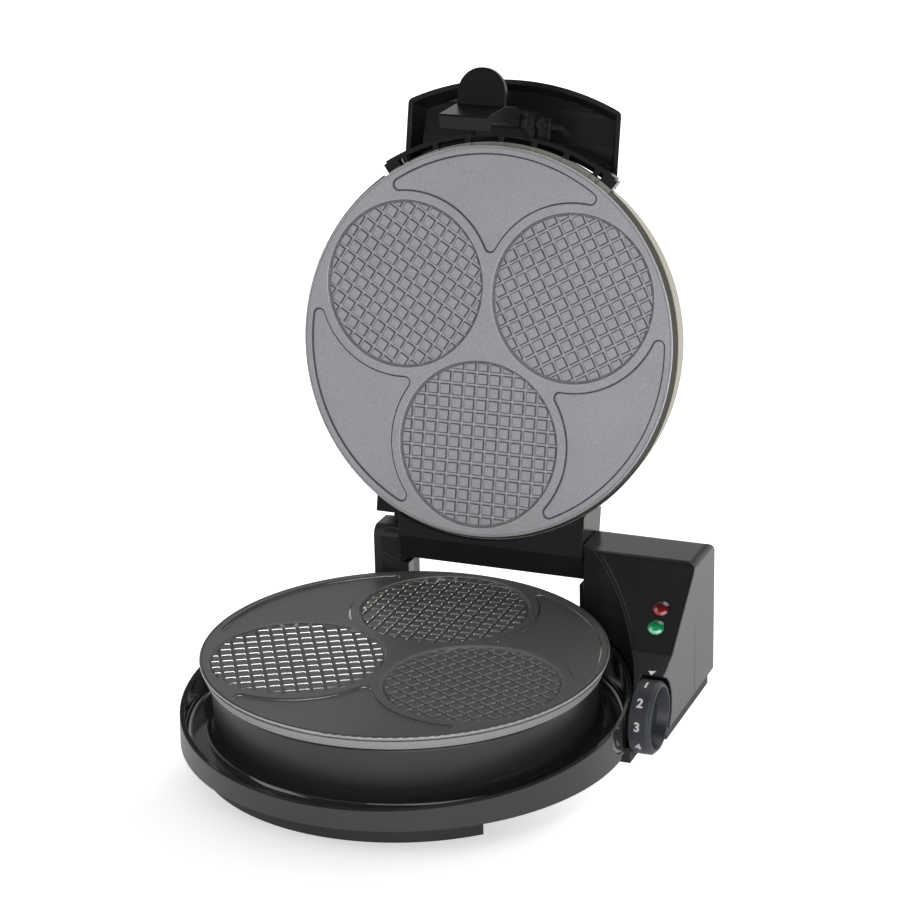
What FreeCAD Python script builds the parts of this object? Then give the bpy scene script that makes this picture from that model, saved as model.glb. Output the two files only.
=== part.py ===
import FreeCAD, Part
import math
import os

# Counter-top maker for three small waffle cones, lid open on its stop.
# Millimetres. Origin on the table under the centre of the plates, +Z up, front at -Y, controls at +X.

Vec = FreeCAD.Vector

# Baking plates
PLATE_R = 115.8
PLATE_TOP = 60.0
PLATE_THICK = 6.0
PLATE_BAND = 8.2
PLATE_LEAN = 3.3
PLATE_RIM_WALL = 4.0
PLATE_EDGE_ROUND = 0.6
EDGE_LINE_R = 114.6
EDGE_LINE = 0.6
EDGE_LINE_DEPTH = 0.5
PLATE_GAP = 0.8

# Waffle pockets and their grid of square pads
POCKET_COUNT = 3
POCKET_R = 50.0
POCKET_OFFSET = 60.7
POCKET_DEPTH = 2.2
PAD_HEIGHT = 1.2
PAD_PITCH = 7.75
PAD_MARGIN = 2.0
GROOVE = 1.7
GROOVE_LEAN = 0.35

# Shallow lobes between the pockets
LOBE_R = 111.0
LOBE_LAND = 4.8
LOBE_DEPTH = 1.0
LOBE_TIP_ROUND = 4.0
LOBE_LINE = 1.0
LOBE_LINE_DEPTH = 0.7

# Base moulding: drum, moat and rim
SHELL_WALL = 2.5
DRUM_R = 110.0
DRUM_LEAN = 1.5
DRUM_EDGE_ROUND = 1.5
PLATE_AIR = 1.5
FLANGE_WIDTH = 12.0
MOAT_FLOOR = 15.0
MOAT_INNER_ROUND = 5.0
MOAT_OUTER_ROUND = 4.0
RIM_R = 128.5
RIM_LEAN = 1.0
RIM_WALL = 3.0
RIM_LOW = 11.6
RIM_FRONT_HEIGHT = 23.0
RIM_RISE = 0.075
SCOOP_DEPTH = 1.6
SCOOP_START = -12.0
SCOOP_END = 26.0
BRIDGE_FRONT = 106.0
BRIDGE_DROP = 4.0

# Bottom moulding
PAN_WALL = 2.5
SKIRT_R = 118.5
SKIRT_WALL = 3.0
SKIRT_HALF = 42.5
CORE_R = 92.0
CORE_WALL = 4.0
TRAY_FLOOR = 2.4
TRAY_LIP = 14.0
TRAY_GAP = 0.2
TRAY_WALL = 2.2
BACK_FOOT_LENGTH = 40.0
BACK_FOOT_WIDTH = 5.0
DIAL_FOOT_FRONT = 19.0
DIAL_FOOT_WIDTH = 11.0
LINK_THICK = 4.0
LINK_BEARING = 42.0
LINK_HALF = 14.0

# Hinge
AXIS_Y = 121.86
AXIS_Z = 78.19
LID_OPEN = 102.685
PIN_R = 3.0
PIN_TIGHT = 0.02
PIN_RUN = 0.05
PIN_GRIP = 13.0
EAR_R = 10.0
EAR_RISE = 6.3
EAR_ROUND = 6.0
EAR_OUT = 66.2
EAR_IN = 49.1
LEDGE_IN = 43.7
POST_WALL = 3.0
POST_BACK = 136.0
LEDGE_BACK = 129.0
HORN_OUT = 58.0
HORN_DEPTH = 7.0
HINGE_GAP = 0.7
HINGE_DROP = 15.0
HINGE_REAR = 12.8
HINGE_CREASE = -1.0
HINGE_SHOULDER = 6.8
HINGE_WALL = 3.0
HINGE_BOSS_R = 6.5
HINGE_WING = 66.2
HINGE_WING_BACK = 109.0
STOP_GAP = 0.3

# Control pod
POD_RIGHT = 140.0
POD_LEFT = 69.0
POD_BACK = 139.0
POD_LOW = 9.3
POD_TOP = 90.0
POD_GAP = 0.3
POD_STEP = 4.0
POD_STEP_FRONT = 113.0
SLOPE_TOP_Y = 103.0
SLOPE_LOW_Y = 56.5
SLOPE_LOW_Z = 51.6
NOSE_SLOPE = 0.39
WEB_FRONT = 26.0
POD_BACK_ROUND = 6.0
POD_FRONT_ROUND = 5.0
POD_NOSE_ROUND = 8.0
POD_SIDE_ROUND = 5.0
SEAM_Y = 100.0
SEAM_TOP = 53.0
SEAM = 0.6
SEAM_DEPTH = 0.5
PANEL_THICK = 1.2
PANEL_MARGIN = 2.2
PANEL_SIDE = 1.4
PANEL_FIT = 0.15
LENS_R = 4.8
LENS_X = 126.4
LENS_RED_Y = 78.4
LENS_GREEN_Y = 69.0
LENS_DOME = 2.6
LENS_RIM = 0.8
LENS_DEEP = 7.0
PUSH_FIT = 0.1
LAMP_R = 2.6
LAMP_LENGTH = 13.0
BOARD_THICK = 1.6
BOARD_STANDOFF = 4.5
BOARD_STANDOFF_R = 3.0
BOARD_Y = (63.0, 112.0)
BOARD_Z = (17.0, 46.0)
TERMINAL_BLOCK = (30.0, 16.0, 13.0)
TERMINAL_AT = (94.0, 102.0)
TERMINAL_WAYS = 3
TERMINAL_SLOT_R = 2.7
GLAND_AT = (118.0, 26.0)
GLAND_R = 5.5
GLAND_FLANGE_R = 8.0
GLAND_FLANGE = 2.0
GLAND_BORE_R = 3.6

# Dial
DIAL_Y = 33.5
DIAL_Z = 23.2
DIAL_R = 21.0
DIAL_WIDTH = 12.0
DIAL_CHAMFER = 2.2
DIAL_WALL = 2.5
DIAL_RECESS_R = 17.8
DIAL_RECESS = 6.4
DIAL_FACE = 2.0
DIAL_HUB_R = 6.0
DIAL_AIR = 0.8
NOTCH_AIR = 2.0
POT_R = 8.0
POT_LENGTH = 3.2
SHAFT_R = 3.0
SHAFT_RUN = 0.05
SHAFT_TIGHT = 0.02

# Heating
ELEMENT_R = 72.0
ELEMENT_TUBE_R = 3.2
ELEMENT_GAP_DEG = 40.0
ELEMENT_LEG_R = 2.0
ELEMENT_LEG = 9.0
ELEMENT_AIR = 0.1
REFLECTOR_SHEET = 0.8
REFLECTOR_DEPTH = 4.0
REFLECTOR_R = 95.0
REFLECTOR_FLANGE_R = 106.0
SENSOR_R = 9.0
SENSOR_HEIGHT = 6.0

# Fasteners
STANDOFF_AT_R = 103.0
STANDOFF_R = 4.5
SCREW_HOLE_GAP = 0.15
THREAD_GAP = 0.03
PLATE_SCREW_R = 2.0
PLATE_SCREW_BITE = 3.0
PLATE_SCREW_HEAD_R = 4.0
PLATE_SCREW_HEAD = 2.6
SMALL_SCREW_R = 1.5
SMALL_SCREW_HEAD_R = 3.2
SMALL_SCREW_HEAD = 2.4
SMALL_SCREW_LENGTH = 14.0
BOSS_R = 4.5
BOSS_AT_R = 103.0
BOSS_HEIGHT = 24.0
BOSS_ANGLES = (45.0, 135.0, 225.0, 315.0)
POD_BOSSES = ((114.5, 79.0), (102.0, 129.0))
SCREW_TIP_AIR = 1.0

# Lid
COVER_R = 117.6
COVER_LEAN = 0.165
COVER_SHEET = 0.8
COVER_LOW = 65.8
COVER_NOTCH_AIR = 0.1
COVER_NOTCH_SIDE = 1.2
COVER_TOP = 95.3
COVER_ROUND = 8.0
LID_FIT = 0.15
RING_WALL = 2.5
RING_HEIGHT = 6.0

# Handle
HANDLE_R = 154.0
HANDLE_HALF = 67.0
HANDLE_LOW = 86.0
HANDLE_CROWN = 102.0
HANDLE_CROWN_Y = -137.0
HANDLE_FRONT_HEIGHT = 10.0
HANDLE_DRAFT = 0.4
HANDLE_WALL = 2.8
HANDLE_CORNER = 4.0
HANDLE_REAR_GAP = 1.2
TAB_TOP = 80.0
TAB_THICK = 2.4
TAB_X = 22.0
TAB_Y = -129.0

# Guard strip below the handle, part of the lid ring
GUARD_R = 129.0
GUARD_FRONT = 120.3
GUARD_WALL = 2.5
GUARD_LOW = 68.0
GUARD_STRIP = 6.5
GUARD_HALF = 33.2
GUARD_DEEP_HALF = 27.0
GUARD_AIR = 0.3
RIB_COUNT = 7
RIB_SPAN = 30.0
RIB_HALF = 0.8
GUARD_END = 34.2
END_HALF = 2.2
LIP_OUT = 117.8
LIP_AIR = 0.3
RIB_IN = 113.9

# Latch
LATCH_HALF = 15.0
LATCH_SIDE_AIR = 0.4
LATCH_PIVOT_Y = -131.0
LATCH_PIVOT_Z = 62.0
LATCH_EYE_R = 4.0
LATCH_SHOULDER = 12.0
LATCH_FACE_Y = -138.5
LATCH_PIN_R = 1.5
LATCH_LUG = 3.0
LATCH_STOP_AIR = 0.3
LATCH_RIM_AIR = 0.8
LATCH_LIP_AIR = 0.6
LATCH_LIP = 4.8
LATCH_LIP_TIP = 2.0
LATCH_LIP_ROOT = 6.0
LATCH_LIP_BACK = 3.0
LATCH_HEEL_ROUND = 1.0
THUMB_Z = 31.5
THUMB_THICK = 3.5
THUMB_R = 14.5
THUMB_REACH = 160.0

# Worked out from the sizes above
PLATE_LOW = PLATE_TOP - PLATE_BAND
PLATE_BACK = PLATE_TOP - PLATE_THICK
PLATE_LOW_R = PLATE_R - PLATE_LEAN
DRUM_TOP = PLATE_LOW - PLATE_AIR
DRUM_FOOT_R = DRUM_R - DRUM_LEAN
FLANGE_R = DRUM_R - FLANGE_WIDTH
FLANGE_LOW = DRUM_TOP - SHELL_WALL
PAN_TOP = MOAT_FLOOR - SHELL_WALL
PAN_LOW = PAN_TOP - PAN_WALL
POD_INNER_R = RIM_R + POD_GAP
SLOPE_ANGLE = math.degrees(math.atan2(POD_TOP - SLOPE_LOW_Z, SLOPE_TOP_Y - SLOPE_LOW_Y))
DIAL_RIGHT = POD_RIGHT
DIAL_LEFT = DIAL_RIGHT - DIAL_WIDTH
NOTCH_X = DIAL_LEFT - DIAL_AIR
NOTCH_R = DIAL_R + NOTCH_AIR
LOBE_ANGLES = [-90.0 + 360.0 / POCKET_COUNT * i for i in range(POCKET_COUNT)]
PARTING = PLATE_TOP + PLATE_GAP / 2
RING_LOW = 2 * PARTING - DRUM_TOP
RING_FLANGE_TOP = 2 * PARTING - FLANGE_LOW
GUARD_CENTRE = GUARD_R - GUARD_FRONT
TAB_LOW = TAB_TOP - TAB_THICK
HINGE_LEFT = -EAR_IN + HINGE_GAP
HINGE_RIGHT = POD_LEFT - HINGE_GAP
HINGE_BACK = AXIS_Y + HINGE_REAR
HINGE_LOW = AXIS_Z - HINGE_DROP
HINGE_BACK_TOP = AXIS_Z + HINGE_SHOULDER
LEDGE_TOP = AXIS_Z - math.hypot(HINGE_REAR, HINGE_DROP / 2) - STOP_GAP
OVERCUT = 1.0
FAR = 250.0


def box(x, y, z):
    return Part.makeBox(x[1] - x[0], y[1] - y[0], z[1] - z[0], Vec(x[0], y[0], z[0]))


def disc(radius, low, high, at=(0.0, 0.0)):
    return Part.makeCylinder(radius, high - low, Vec(at[0], at[1], low))


def rod_x(radius, left, right, y, z):
    return Part.makeCylinder(radius, right - left, Vec(left, y, z), Vec(1, 0, 0))


def rod_y(radius, front, back, x, z):
    return Part.makeCylinder(radius, back - front, Vec(x, front, z), Vec(0, 1, 0))


def polar(radius, degrees):
    angle = math.radians(degrees)
    return radius * math.cos(angle), radius * math.sin(angle)


def outline(points, place):
    """Face inside corner points (u, v) or (u, v, rounding radius)."""
    count = len(points)
    stops = []
    for i in range(count):
        here = Vec(points[i][0], points[i][1], 0)
        radius = points[i][2] if len(points[i]) > 2 else 0
        if not radius:
            stops.append((here, None, here))
            continue
        back = Vec(points[i - 1][0], points[i - 1][1], 0) - here
        ahead = Vec(points[(i + 1) % count][0], points[(i + 1) % count][1], 0) - here
        half = back.getAngle(ahead) / 2
        back.normalize()
        ahead.normalize()
        middle = back + ahead
        middle.normalize()
        run = radius / math.tan(half)
        reach = radius / math.sin(half) - radius
        stops.append((here + back * run, here + middle * reach, here + ahead * run))
    edges = []
    for i in range(count):
        enter, middle, leave = stops[i]
        following = stops[(i + 1) % count][0]
        if middle is not None:
            edges.append(Part.Arc(place(enter), place(middle), place(leave)).toShape())
        if leave.distanceToPoint(following) > 1e-6:
            edges.append(Part.LineSegment(place(leave), place(following)).toShape())
    return Part.Face(Part.Wire(edges))


def turned(points):
    """Solid of revolution about Z from a profile of (radius, height)."""
    face = outline(points, lambda p: Vec(p.x, 0, p.y))
    return face.revolve(Vec(0, 0, 0), Vec(0, 0, 1), 360)


def turned_x(points, y, z):
    """Solid of revolution about a line along X, from a profile of (radius, x)."""
    face = outline(points, lambda p: Vec(p.y, y + p.x, z))
    return face.revolve(Vec(0, y, z), Vec(1, 0, 0), 360)


def across(points, left, right):
    """Profile of (y, z), drawn out along X."""
    face = outline(points, lambda p: Vec(left, p.x, p.y))
    return face.extrude(Vec(right - left, 0, 0))


def arc_wall(inner, outer, low, high, middle, half, centre_y=0.0):
    """Upright wall that follows a circle."""
    wall = Part.makeCylinder(outer, high - low, Vec(0, 0, low), Vec(0, 0, 1), 2 * half)
    wall = wall.cut(disc(inner, low - OVERCUT, high + OVERCUT))
    wall.rotate(Vec(0, 0, 0), Vec(0, 0, 1), middle - half)
    wall.translate(Vec(0, centre_y, 0))
    return wall


def joined(shapes):
    return shapes[0].multiFuse(shapes[1:]).removeSplitter()


def lid_twin(shape):
    """The lid's copy of a base piece: the same, upside down above the parting plane."""
    return shape.mirror(Vec(0, 0, PARTING), Vec(0, 0, 1))


def opened(shape):
    """A piece modelled with the lid closed, swung to the open stop."""
    moved = shape.copy()
    moved.rotate(Vec(0, AXIS_Y, AXIS_Z), Vec(1, 0, 0), -LID_OPEN)
    return moved


def on_slope(shape, x, y, lift=0.0):
    """A piece modelled about the origin, set square on the pod's slope."""
    moved = shape.copy()
    moved.rotate(Vec(0, 0, 0), Vec(1, 0, 0), SLOPE_ANGLE)
    slope = math.radians(SLOPE_ANGLE)
    z = SLOPE_LOW_Z + (y - SLOPE_LOW_Y) * math.tan(slope)
    moved.translate(Vec(x, y - lift * math.sin(slope), z + lift * math.cos(slope)))
    return moved


# Baking plate

def lobe_blanks(inset, low, high):
    """Three prisms between the pockets, with rounded tips, drawn in by an inset."""
    blank = disc(LOBE_R - inset, low, high)
    keep_r = POCKET_R + LOBE_LAND + inset
    around = [disc(keep_r, 0, FAR, polar(POCKET_OFFSET, a + 180)) for a in LOBE_ANGLES]
    pieces = blank.cut(around).Solids
    outer = [s for s in pieces if math.hypot(s.CenterOfMass.x, s.CenterOfMass.y) > POCKET_OFFSET]
    rounded = []
    for piece in outer:
        uprights = [e for e in piece.Edges if abs(e.tangentAt(e.FirstParameter).z) > 0.99]
        rounded.append(piece.makeFillet(LOBE_TIP_ROUND - inset, uprights))
    return rounded


def lobes():
    """What is cut away for the shallow lobes: each has a narrow channel round its edge."""
    floor = PLATE_TOP - LOBE_DEPTH
    channel = floor - LOBE_LINE_DEPTH
    islands = lobe_blanks(LOBE_LINE, channel - OVERCUT, floor)
    return [lobe.cut(islands) for lobe in lobe_blanks(0.0, channel, PLATE_TOP + OVERCUT)]


def pocket_tool():
    """What is cut away for one pocket: a round well with square pads left standing."""
    floor = PLATE_TOP - POCKET_DEPTH
    pad_r = POCKET_R - PAD_MARGIN
    count = int(pad_r / PAD_PITCH) + 1
    low = GROOVE / 2
    spread = low + GROOVE_LEAN * 2
    rise = PAD_HEIGHT * 2
    section = [(-low, floor), (low, floor), (spread, floor + rise), (-spread, floor + rise)]
    groove = across(section, -POCKET_R, POCKET_R)
    cuts = []
    for i in range(-count, count):
        step = (i + 0.5) * PAD_PITCH
        lengthwise = groove.copy()
        lengthwise.translate(Vec(0, step, 0))
        crosswise = groove.copy()
        crosswise.rotate(Vec(0, 0, 0), Vec(0, 0, 1), 90)
        crosswise.translate(Vec(step, 0, 0))
        cuts += [lengthwise, crosswise]
    pads = disc(pad_r, floor, floor + PAD_HEIGHT).cut(cuts)
    well = disc(POCKET_R, floor, PLATE_TOP + OVERCUT).cut(pads)
    well.translate(Vec(0, POCKET_OFFSET, 0))
    return well


def baking_plate():
    inner = PLATE_LOW_R - PLATE_RIM_WALL
    body = turned([
        (0, PLATE_BACK),
        (inner, PLATE_BACK),
        (inner, PLATE_LOW),
        (PLATE_LOW_R, PLATE_LOW),
        (PLATE_R, PLATE_TOP, PLATE_EDGE_ROUND),
        (EDGE_LINE_R, PLATE_TOP),
        (EDGE_LINE_R, PLATE_TOP - EDGE_LINE_DEPTH),
        (EDGE_LINE_R - EDGE_LINE, PLATE_TOP - EDGE_LINE_DEPTH),
        (EDGE_LINE_R - EDGE_LINE, PLATE_TOP),
        (0, PLATE_TOP),
    ])
    cuts = lobes()
    well = pocket_tool()
    for i in range(POCKET_COUNT):
        turned_well = well.copy()
        turned_well.rotate(Vec(0, 0, 0), Vec(0, 0, 1), 360.0 / POCKET_COUNT * i)
        cuts.append(turned_well)
    thread_r = PLATE_SCREW_R + THREAD_GAP
    for angle in LOBE_ANGLES:
        at = polar(STANDOFF_AT_R, angle)
        cuts.append(disc(thread_r, PLATE_BACK, PLATE_BACK + PLATE_SCREW_BITE, at))
    return body.cut(cuts)


def plate_standoffs():
    tubes = []
    for angle in LOBE_ANGLES:
        at = polar(STANDOFF_AT_R, angle)
        tube = disc(STANDOFF_R, DRUM_TOP, PLATE_BACK, at)
        tubes.append(tube.cut(disc(PLATE_SCREW_R + SCREW_HOLE_GAP, 0, FAR, at)))
    return Part.makeCompound(tubes)


def plate_screws():
    screws = []
    seat = FLANGE_LOW - REFLECTOR_SHEET
    for angle in LOBE_ANGLES:
        at = polar(STANDOFF_AT_R, angle)
        tip = PLATE_BACK + PLATE_SCREW_BITE - THREAD_GAP
        shank = disc(PLATE_SCREW_R, seat, tip, at)
        head = disc(PLATE_SCREW_HEAD_R, seat - PLATE_SCREW_HEAD, seat, at)
        screws.append(joined([head, shank]))
    return Part.makeCompound(screws)


def plate_screw_holes():
    hole_r = PLATE_SCREW_R + SCREW_HOLE_GAP
    return [disc(hole_r, 0, FAR, polar(STANDOFF_AT_R, a)) for a in LOBE_ANGLES]


# Heating

def element_ends():
    return [polar(ELEMENT_R, 90.0 + side * ELEMENT_GAP_DEG / 2) for side in (-1, 1)]


def heating_element():
    middle = PLATE_BACK - ELEMENT_AIR - ELEMENT_TUBE_R
    sweep = 360.0 - ELEMENT_GAP_DEG
    loop = Part.makeTorus(ELEMENT_R, ELEMENT_TUBE_R, Vec(0, 0, 0), Vec(0, 0, 1), 0, 360, sweep)
    loop.rotate(Vec(0, 0, 0), Vec(0, 0, 1), 90.0 + ELEMENT_GAP_DEG / 2)
    loop.translate(Vec(0, 0, middle))
    shapes = [loop]
    for at in element_ends():
        shapes.append(Part.makeSphere(ELEMENT_TUBE_R, Vec(at[0], at[1], middle)))
        shapes.append(disc(ELEMENT_LEG_R, middle - ELEMENT_LEG, middle, at))
    return joined(shapes)


def heat_reflector():
    low = FLANGE_LOW - REFLECTOR_DEPTH
    flange = FLANGE_LOW - REFLECTOR_SHEET
    wall = REFLECTOR_R + REFLECTOR_SHEET
    dish = turned([
        (0, low),
        (wall, low),
        (wall, flange),
        (REFLECTOR_FLANGE_R, flange),
        (REFLECTOR_FLANGE_R, FLANGE_LOW),
        (REFLECTOR_R, FLANGE_LOW),
        (REFLECTOR_R, low + REFLECTOR_SHEET),
        (0, low + REFLECTOR_SHEET),
    ])
    leg_holes = [disc(2 * ELEMENT_LEG_R, 0, FAR, at) for at in element_ends()]
    return dish.cut(plate_screw_holes() + leg_holes)


def plate_sensor():
    return disc(SENSOR_R, PLATE_BACK - SENSOR_HEIGHT, PLATE_BACK)


# Base moulding

def under_rim_plane(drop=0.0):
    """Everything below the sloping plane that the rim's top edge follows."""
    def height(y):
        return RIM_FRONT_HEIGHT + RIM_RISE * (y + RIM_R) - drop

    return across([(-FAR, -OVERCUT), (FAR, -OVERCUT), (FAR, height(FAR)), (-FAR, height(-FAR))], -FAR, FAR)


def base_ring():
    rim_in = RIM_R - RIM_WALL
    ring = turned([
        (RIM_R, RIM_LOW),
        (RIM_R - RIM_LEAN, DRUM_TOP),
        (rim_in - RIM_LEAN, DRUM_TOP),
        (rim_in, MOAT_FLOOR, MOAT_OUTER_ROUND),
        (DRUM_FOOT_R, MOAT_FLOOR, MOAT_INNER_ROUND),
        (DRUM_R, DRUM_TOP, DRUM_EDGE_ROUND),
        (FLANGE_R, DRUM_TOP),
        (FLANGE_R, FLANGE_LOW),
        (DRUM_R - SHELL_WALL, FLANGE_LOW),
        (DRUM_FOOT_R - SHELL_WALL, PAN_TOP),
        (rim_in, PAN_TOP),
        (rim_in, RIM_LOW),
    ])
    moat_middle = (DRUM_R + rim_in) / 2
    above = disc(FAR, 0, FAR).cut(under_rim_plane())
    return ring.cut(above.cut(disc(moat_middle, 0, FAR)))


def rear_bridge():
    """Low hollow back between the two hinge supports, behind the rim."""
    left = -EAR_OUT
    right = POD_LEFT - POD_STEP - POD_GAP
    wall = SHELL_WALL
    whole = box((left, right), (BRIDGE_FRONT, POST_BACK), (PAN_TOP, FAR))
    whole = whole.cut(disc(RIM_R - RIM_WALL / 2, 0, FAR)).common(under_rim_plane(BRIDGE_DROP))
    room = box((left + wall, right - wall), (BRIDGE_FRONT + wall, POST_BACK - wall), (0, FAR))
    room = room.cut(disc(RIM_R + wall, 0, FAR)).common(under_rim_plane(BRIDGE_DROP + wall))
    return whole.cut(room)


def wing_underside(y):
    """Height of the open lid block's wing above a point on the ear."""
    front = opened(Part.Vertex(0, HINGE_WING_BACK, RING_LOW)).Point
    back = opened(Part.Vertex(0, HINGE_WING_BACK, COVER_TOP)).Point
    return front.z + (back.z - front.z) * (y - front.y) / (back.y - front.y)


def hinge_post():
    """Left hinge support: ear with its stop horn, and a foot that ends in a ledge under the lid block."""
    front = AXIS_Y - EAR_R
    back = AXIS_Y + EAR_R
    top = AXIS_Z + EAR_RISE
    ear = across([(front, PAN_TOP), (front, top, EAR_ROUND), (back, top), (back, PAN_TOP)], -EAR_OUT, -EAR_IN)
    horn = box((-HORN_OUT, -EAR_IN), (back - HORN_DEPTH, back), (AXIS_Z, wing_underside(back) - STOP_GAP))
    foot = box((-EAR_OUT, -LEDGE_IN), (front, LEDGE_BACK), (PAN_TOP, LEDGE_TOP))
    wall = POST_WALL
    room = box((-EAR_OUT + wall, -LEDGE_IN - wall), (front + wall, LEDGE_BACK - wall), (0, LEDGE_TOP - wall))
    bore = rod_x(PIN_R + PIN_TIGHT, -EAR_IN - PIN_GRIP, 0, AXIS_Y, AXIS_Z)
    return joined([ear, horn, foot]).cut([room, bore])


def dial_scoop():
    """Finger room in the rim's outer face beside the dial."""
    middle = (RIM_LOW + RIM_FRONT_HEIGHT) / 2
    side = across([
        (SCOOP_START, FAR),
        (SCOOP_START, RIM_FRONT_HEIGHT),
        (SCOOP_START / 2, middle),
        (-SCOOP_START, RIM_LOW - OVERCUT),
        (SCOOP_END, RIM_LOW - OVERCUT),
        (SCOOP_END, FAR),
    ], DRUM_R, POD_RIGHT)
    return side.cut(disc(RIM_R - SCOOP_DEPTH, 0, FAR))


def bottom_bosses():
    return [disc(BOSS_R, PAN_TOP, PAN_TOP + BOSS_HEIGHT, polar(BOSS_AT_R, a)) for a in BOSS_ANGLES]


def base_screw_places():
    return [polar(BOSS_AT_R, a) for a in BOSS_ANGLES] + list(POD_BOSSES)


def small_threads(low, places):
    deep = SMALL_SCREW_LENGTH + SCREW_TIP_AIR
    return [disc(SMALL_SCREW_R + THREAD_GAP, low, low + deep, at) for at in places]


def base_shell():
    shell = joined([base_ring(), rear_bridge(), hinge_post()] + bottom_bosses())
    cuts = plate_screw_holes()
    cuts += small_threads(PAN_LOW, base_screw_places())
    cuts += [dial_notch(0.0), dial_scoop()]
    return shell.cut(cuts)


# Control pod

def pod_profile(low):
    drop = NOSE_SLOPE * (SLOPE_LOW_Y - WEB_FRONT)
    return [
        (POD_BACK, low),
        (POD_BACK, POD_TOP, POD_BACK_ROUND),
        (SLOPE_TOP_Y, POD_TOP, POD_FRONT_ROUND),
        (SLOPE_LOW_Y, SLOPE_LOW_Z),
        (WEB_FRONT, SLOPE_LOW_Z - drop, POD_NOSE_ROUND),
        (WEB_FRONT, low),
    ]


def dial_notch(grow):
    """Room for the dial at the pod's front corner."""
    left = NOTCH_X - grow
    wheel = rod_x(NOTCH_R + grow, left, FAR, DIAL_Y, DIAL_Z)
    back = DIAL_Y + math.sqrt(NOTCH_R ** 2 - (DIAL_Z - POD_LOW) ** 2) + grow
    below = box((left, FAR), (0, back), (-FAR, DIAL_Z))
    return joined([wheel, below])


def pod_solid(grow, low):
    """The pod's outer form, or its hollow when it is drawn in by a wall."""
    face = outline(pod_profile(low), lambda p: Vec(POD_LEFT + grow, p.x, p.y))
    if grow:
        face = face.makeOffset2D(-grow, 2)
    solid = face.extrude(Vec(POD_RIGHT - POD_LEFT - 2 * grow, 0, 0))
    return solid.cut([disc(POD_INNER_R + grow, -FAR, FAR), dial_notch(grow)])


def panel_slab(grow, thick):
    """A slab on the slope, kept inside the slope's edges."""
    run = math.hypot(SLOPE_TOP_Y - SLOPE_LOW_Y, POD_TOP - SLOPE_LOW_Z)
    margin = PANEL_MARGIN - grow
    slab = box((-FAR, FAR), (margin, run - margin), (-thick, FAR))
    slab = on_slope(slab, 0, SLOPE_LOW_Y)
    limits = box((POD_LEFT + margin, POD_RIGHT - PANEL_SIDE + grow), (0, POD_BACK), (0, POD_TOP))
    limits = limits.cut(disc(POD_INNER_R + margin, -FAR, FAR))
    return slab.common(limits)


def lens_places():
    return ((LENS_X, LENS_RED_Y), (LENS_X, LENS_GREEN_Y))


def lens_holes():
    hole = disc(LENS_R + PUSH_FIT, -2 * LENS_DEEP, 2 * LENS_DEEP)
    return [on_slope(hole, x, y) for x, y in lens_places()]


def board_standoffs():
    wall = POD_RIGHT - SHELL_WALL
    rods = []
    for y in (BOARD_Y[0] + BOARD_STANDOFF_R, BOARD_Y[1] - BOARD_STANDOFF_R):
        for z in (BOARD_Z[0] + BOARD_STANDOFF_R, BOARD_Z[1] - BOARD_STANDOFF_R):
            rods.append(rod_x(BOARD_STANDOFF_R, wall - BOARD_STANDOFF, wall, y, z))
    return rods


def rounded_pod():
    """The pod with its upper right edge rounded."""
    x = POD_RIGHT - POD_SIDE_ROUND
    z = POD_TOP - POD_SIDE_ROUND
    corner = box((x, FAR), (0, FAR), (z, FAR)).cut(rod_y(POD_SIDE_ROUND, 0, FAR, x, z))
    return pod_solid(0.0, POD_LOW).cut(corner)


def control_housing():
    outer = rounded_pod()
    shell = outer.cut(pod_solid(SHELL_WALL, -FAR))
    pillars = [disc(BOSS_R, PAN_LOW, FAR, at).common(outer) for at in POD_BOSSES]
    pin_boss = rod_x(HINGE_BOSS_R, POD_LEFT, POD_LEFT + PIN_GRIP + SHELL_WALL, AXIS_Y, AXIS_Z)
    step = box((POD_LEFT - POD_STEP, POD_LEFT + SHELL_WALL), (POD_STEP_FRONT, POD_BACK), (POD_LOW, LEDGE_TOP))
    shell = joined([shell, pin_boss.common(outer), step] + pillars + board_standoffs())
    cuts = lens_holes()
    cuts.append(panel_slab(PANEL_FIT, PANEL_THICK))
    cuts.append(rod_x(PIN_R + PIN_TIGHT, 0, POD_LEFT + PIN_GRIP, AXIS_Y, AXIS_Z))
    cuts.append(rod_y(GLAND_R + PUSH_FIT, POD_BACK - 2 * SHELL_WALL, FAR, GLAND_AT[0], GLAND_AT[1]))
    cuts += small_threads(PAN_LOW, POD_BOSSES)
    cuts.append(box((POD_RIGHT - SEAM_DEPTH, FAR), (SEAM_Y, SEAM_Y + SEAM), (0, SEAM_TOP)))
    return shell.cut(cuts)


def control_panel():
    slab = panel_slab(0.0, PANEL_THICK).common(rounded_pod())
    above = box((-FAR, FAR), (-FAR, FAR), (0, FAR))
    return slab.cut(on_slope(above, 0, SLOPE_LOW_Y)).cut(lens_holes())


def lens(y):
    rise = LENS_DOME - LENS_RIM
    ball_r = (LENS_R ** 2 + rise ** 2) / (2 * rise)
    ball = Part.makeSphere(ball_r, Vec(0, 0, LENS_DOME - ball_r))
    dome = ball.common(disc(LENS_R, LENS_RIM, LENS_DOME))
    body = joined([disc(LENS_R, -LENS_DEEP, LENS_RIM), dome])
    body = body.cut(disc(LAMP_R + PUSH_FIT, -FAR, -LENS_RIM))
    return on_slope(body, LENS_X, y)


def indicator_lamps():
    lamp = disc(LAMP_R, -LAMP_LENGTH - LENS_RIM, -LENS_RIM - PUSH_FIT)
    return Part.makeCompound([on_slope(lamp, x, y) for x, y in lens_places()])


def control_board():
    back = POD_RIGHT - SHELL_WALL - BOARD_STANDOFF
    return box((back - BOARD_THICK, back), BOARD_Y, BOARD_Z)


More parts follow.
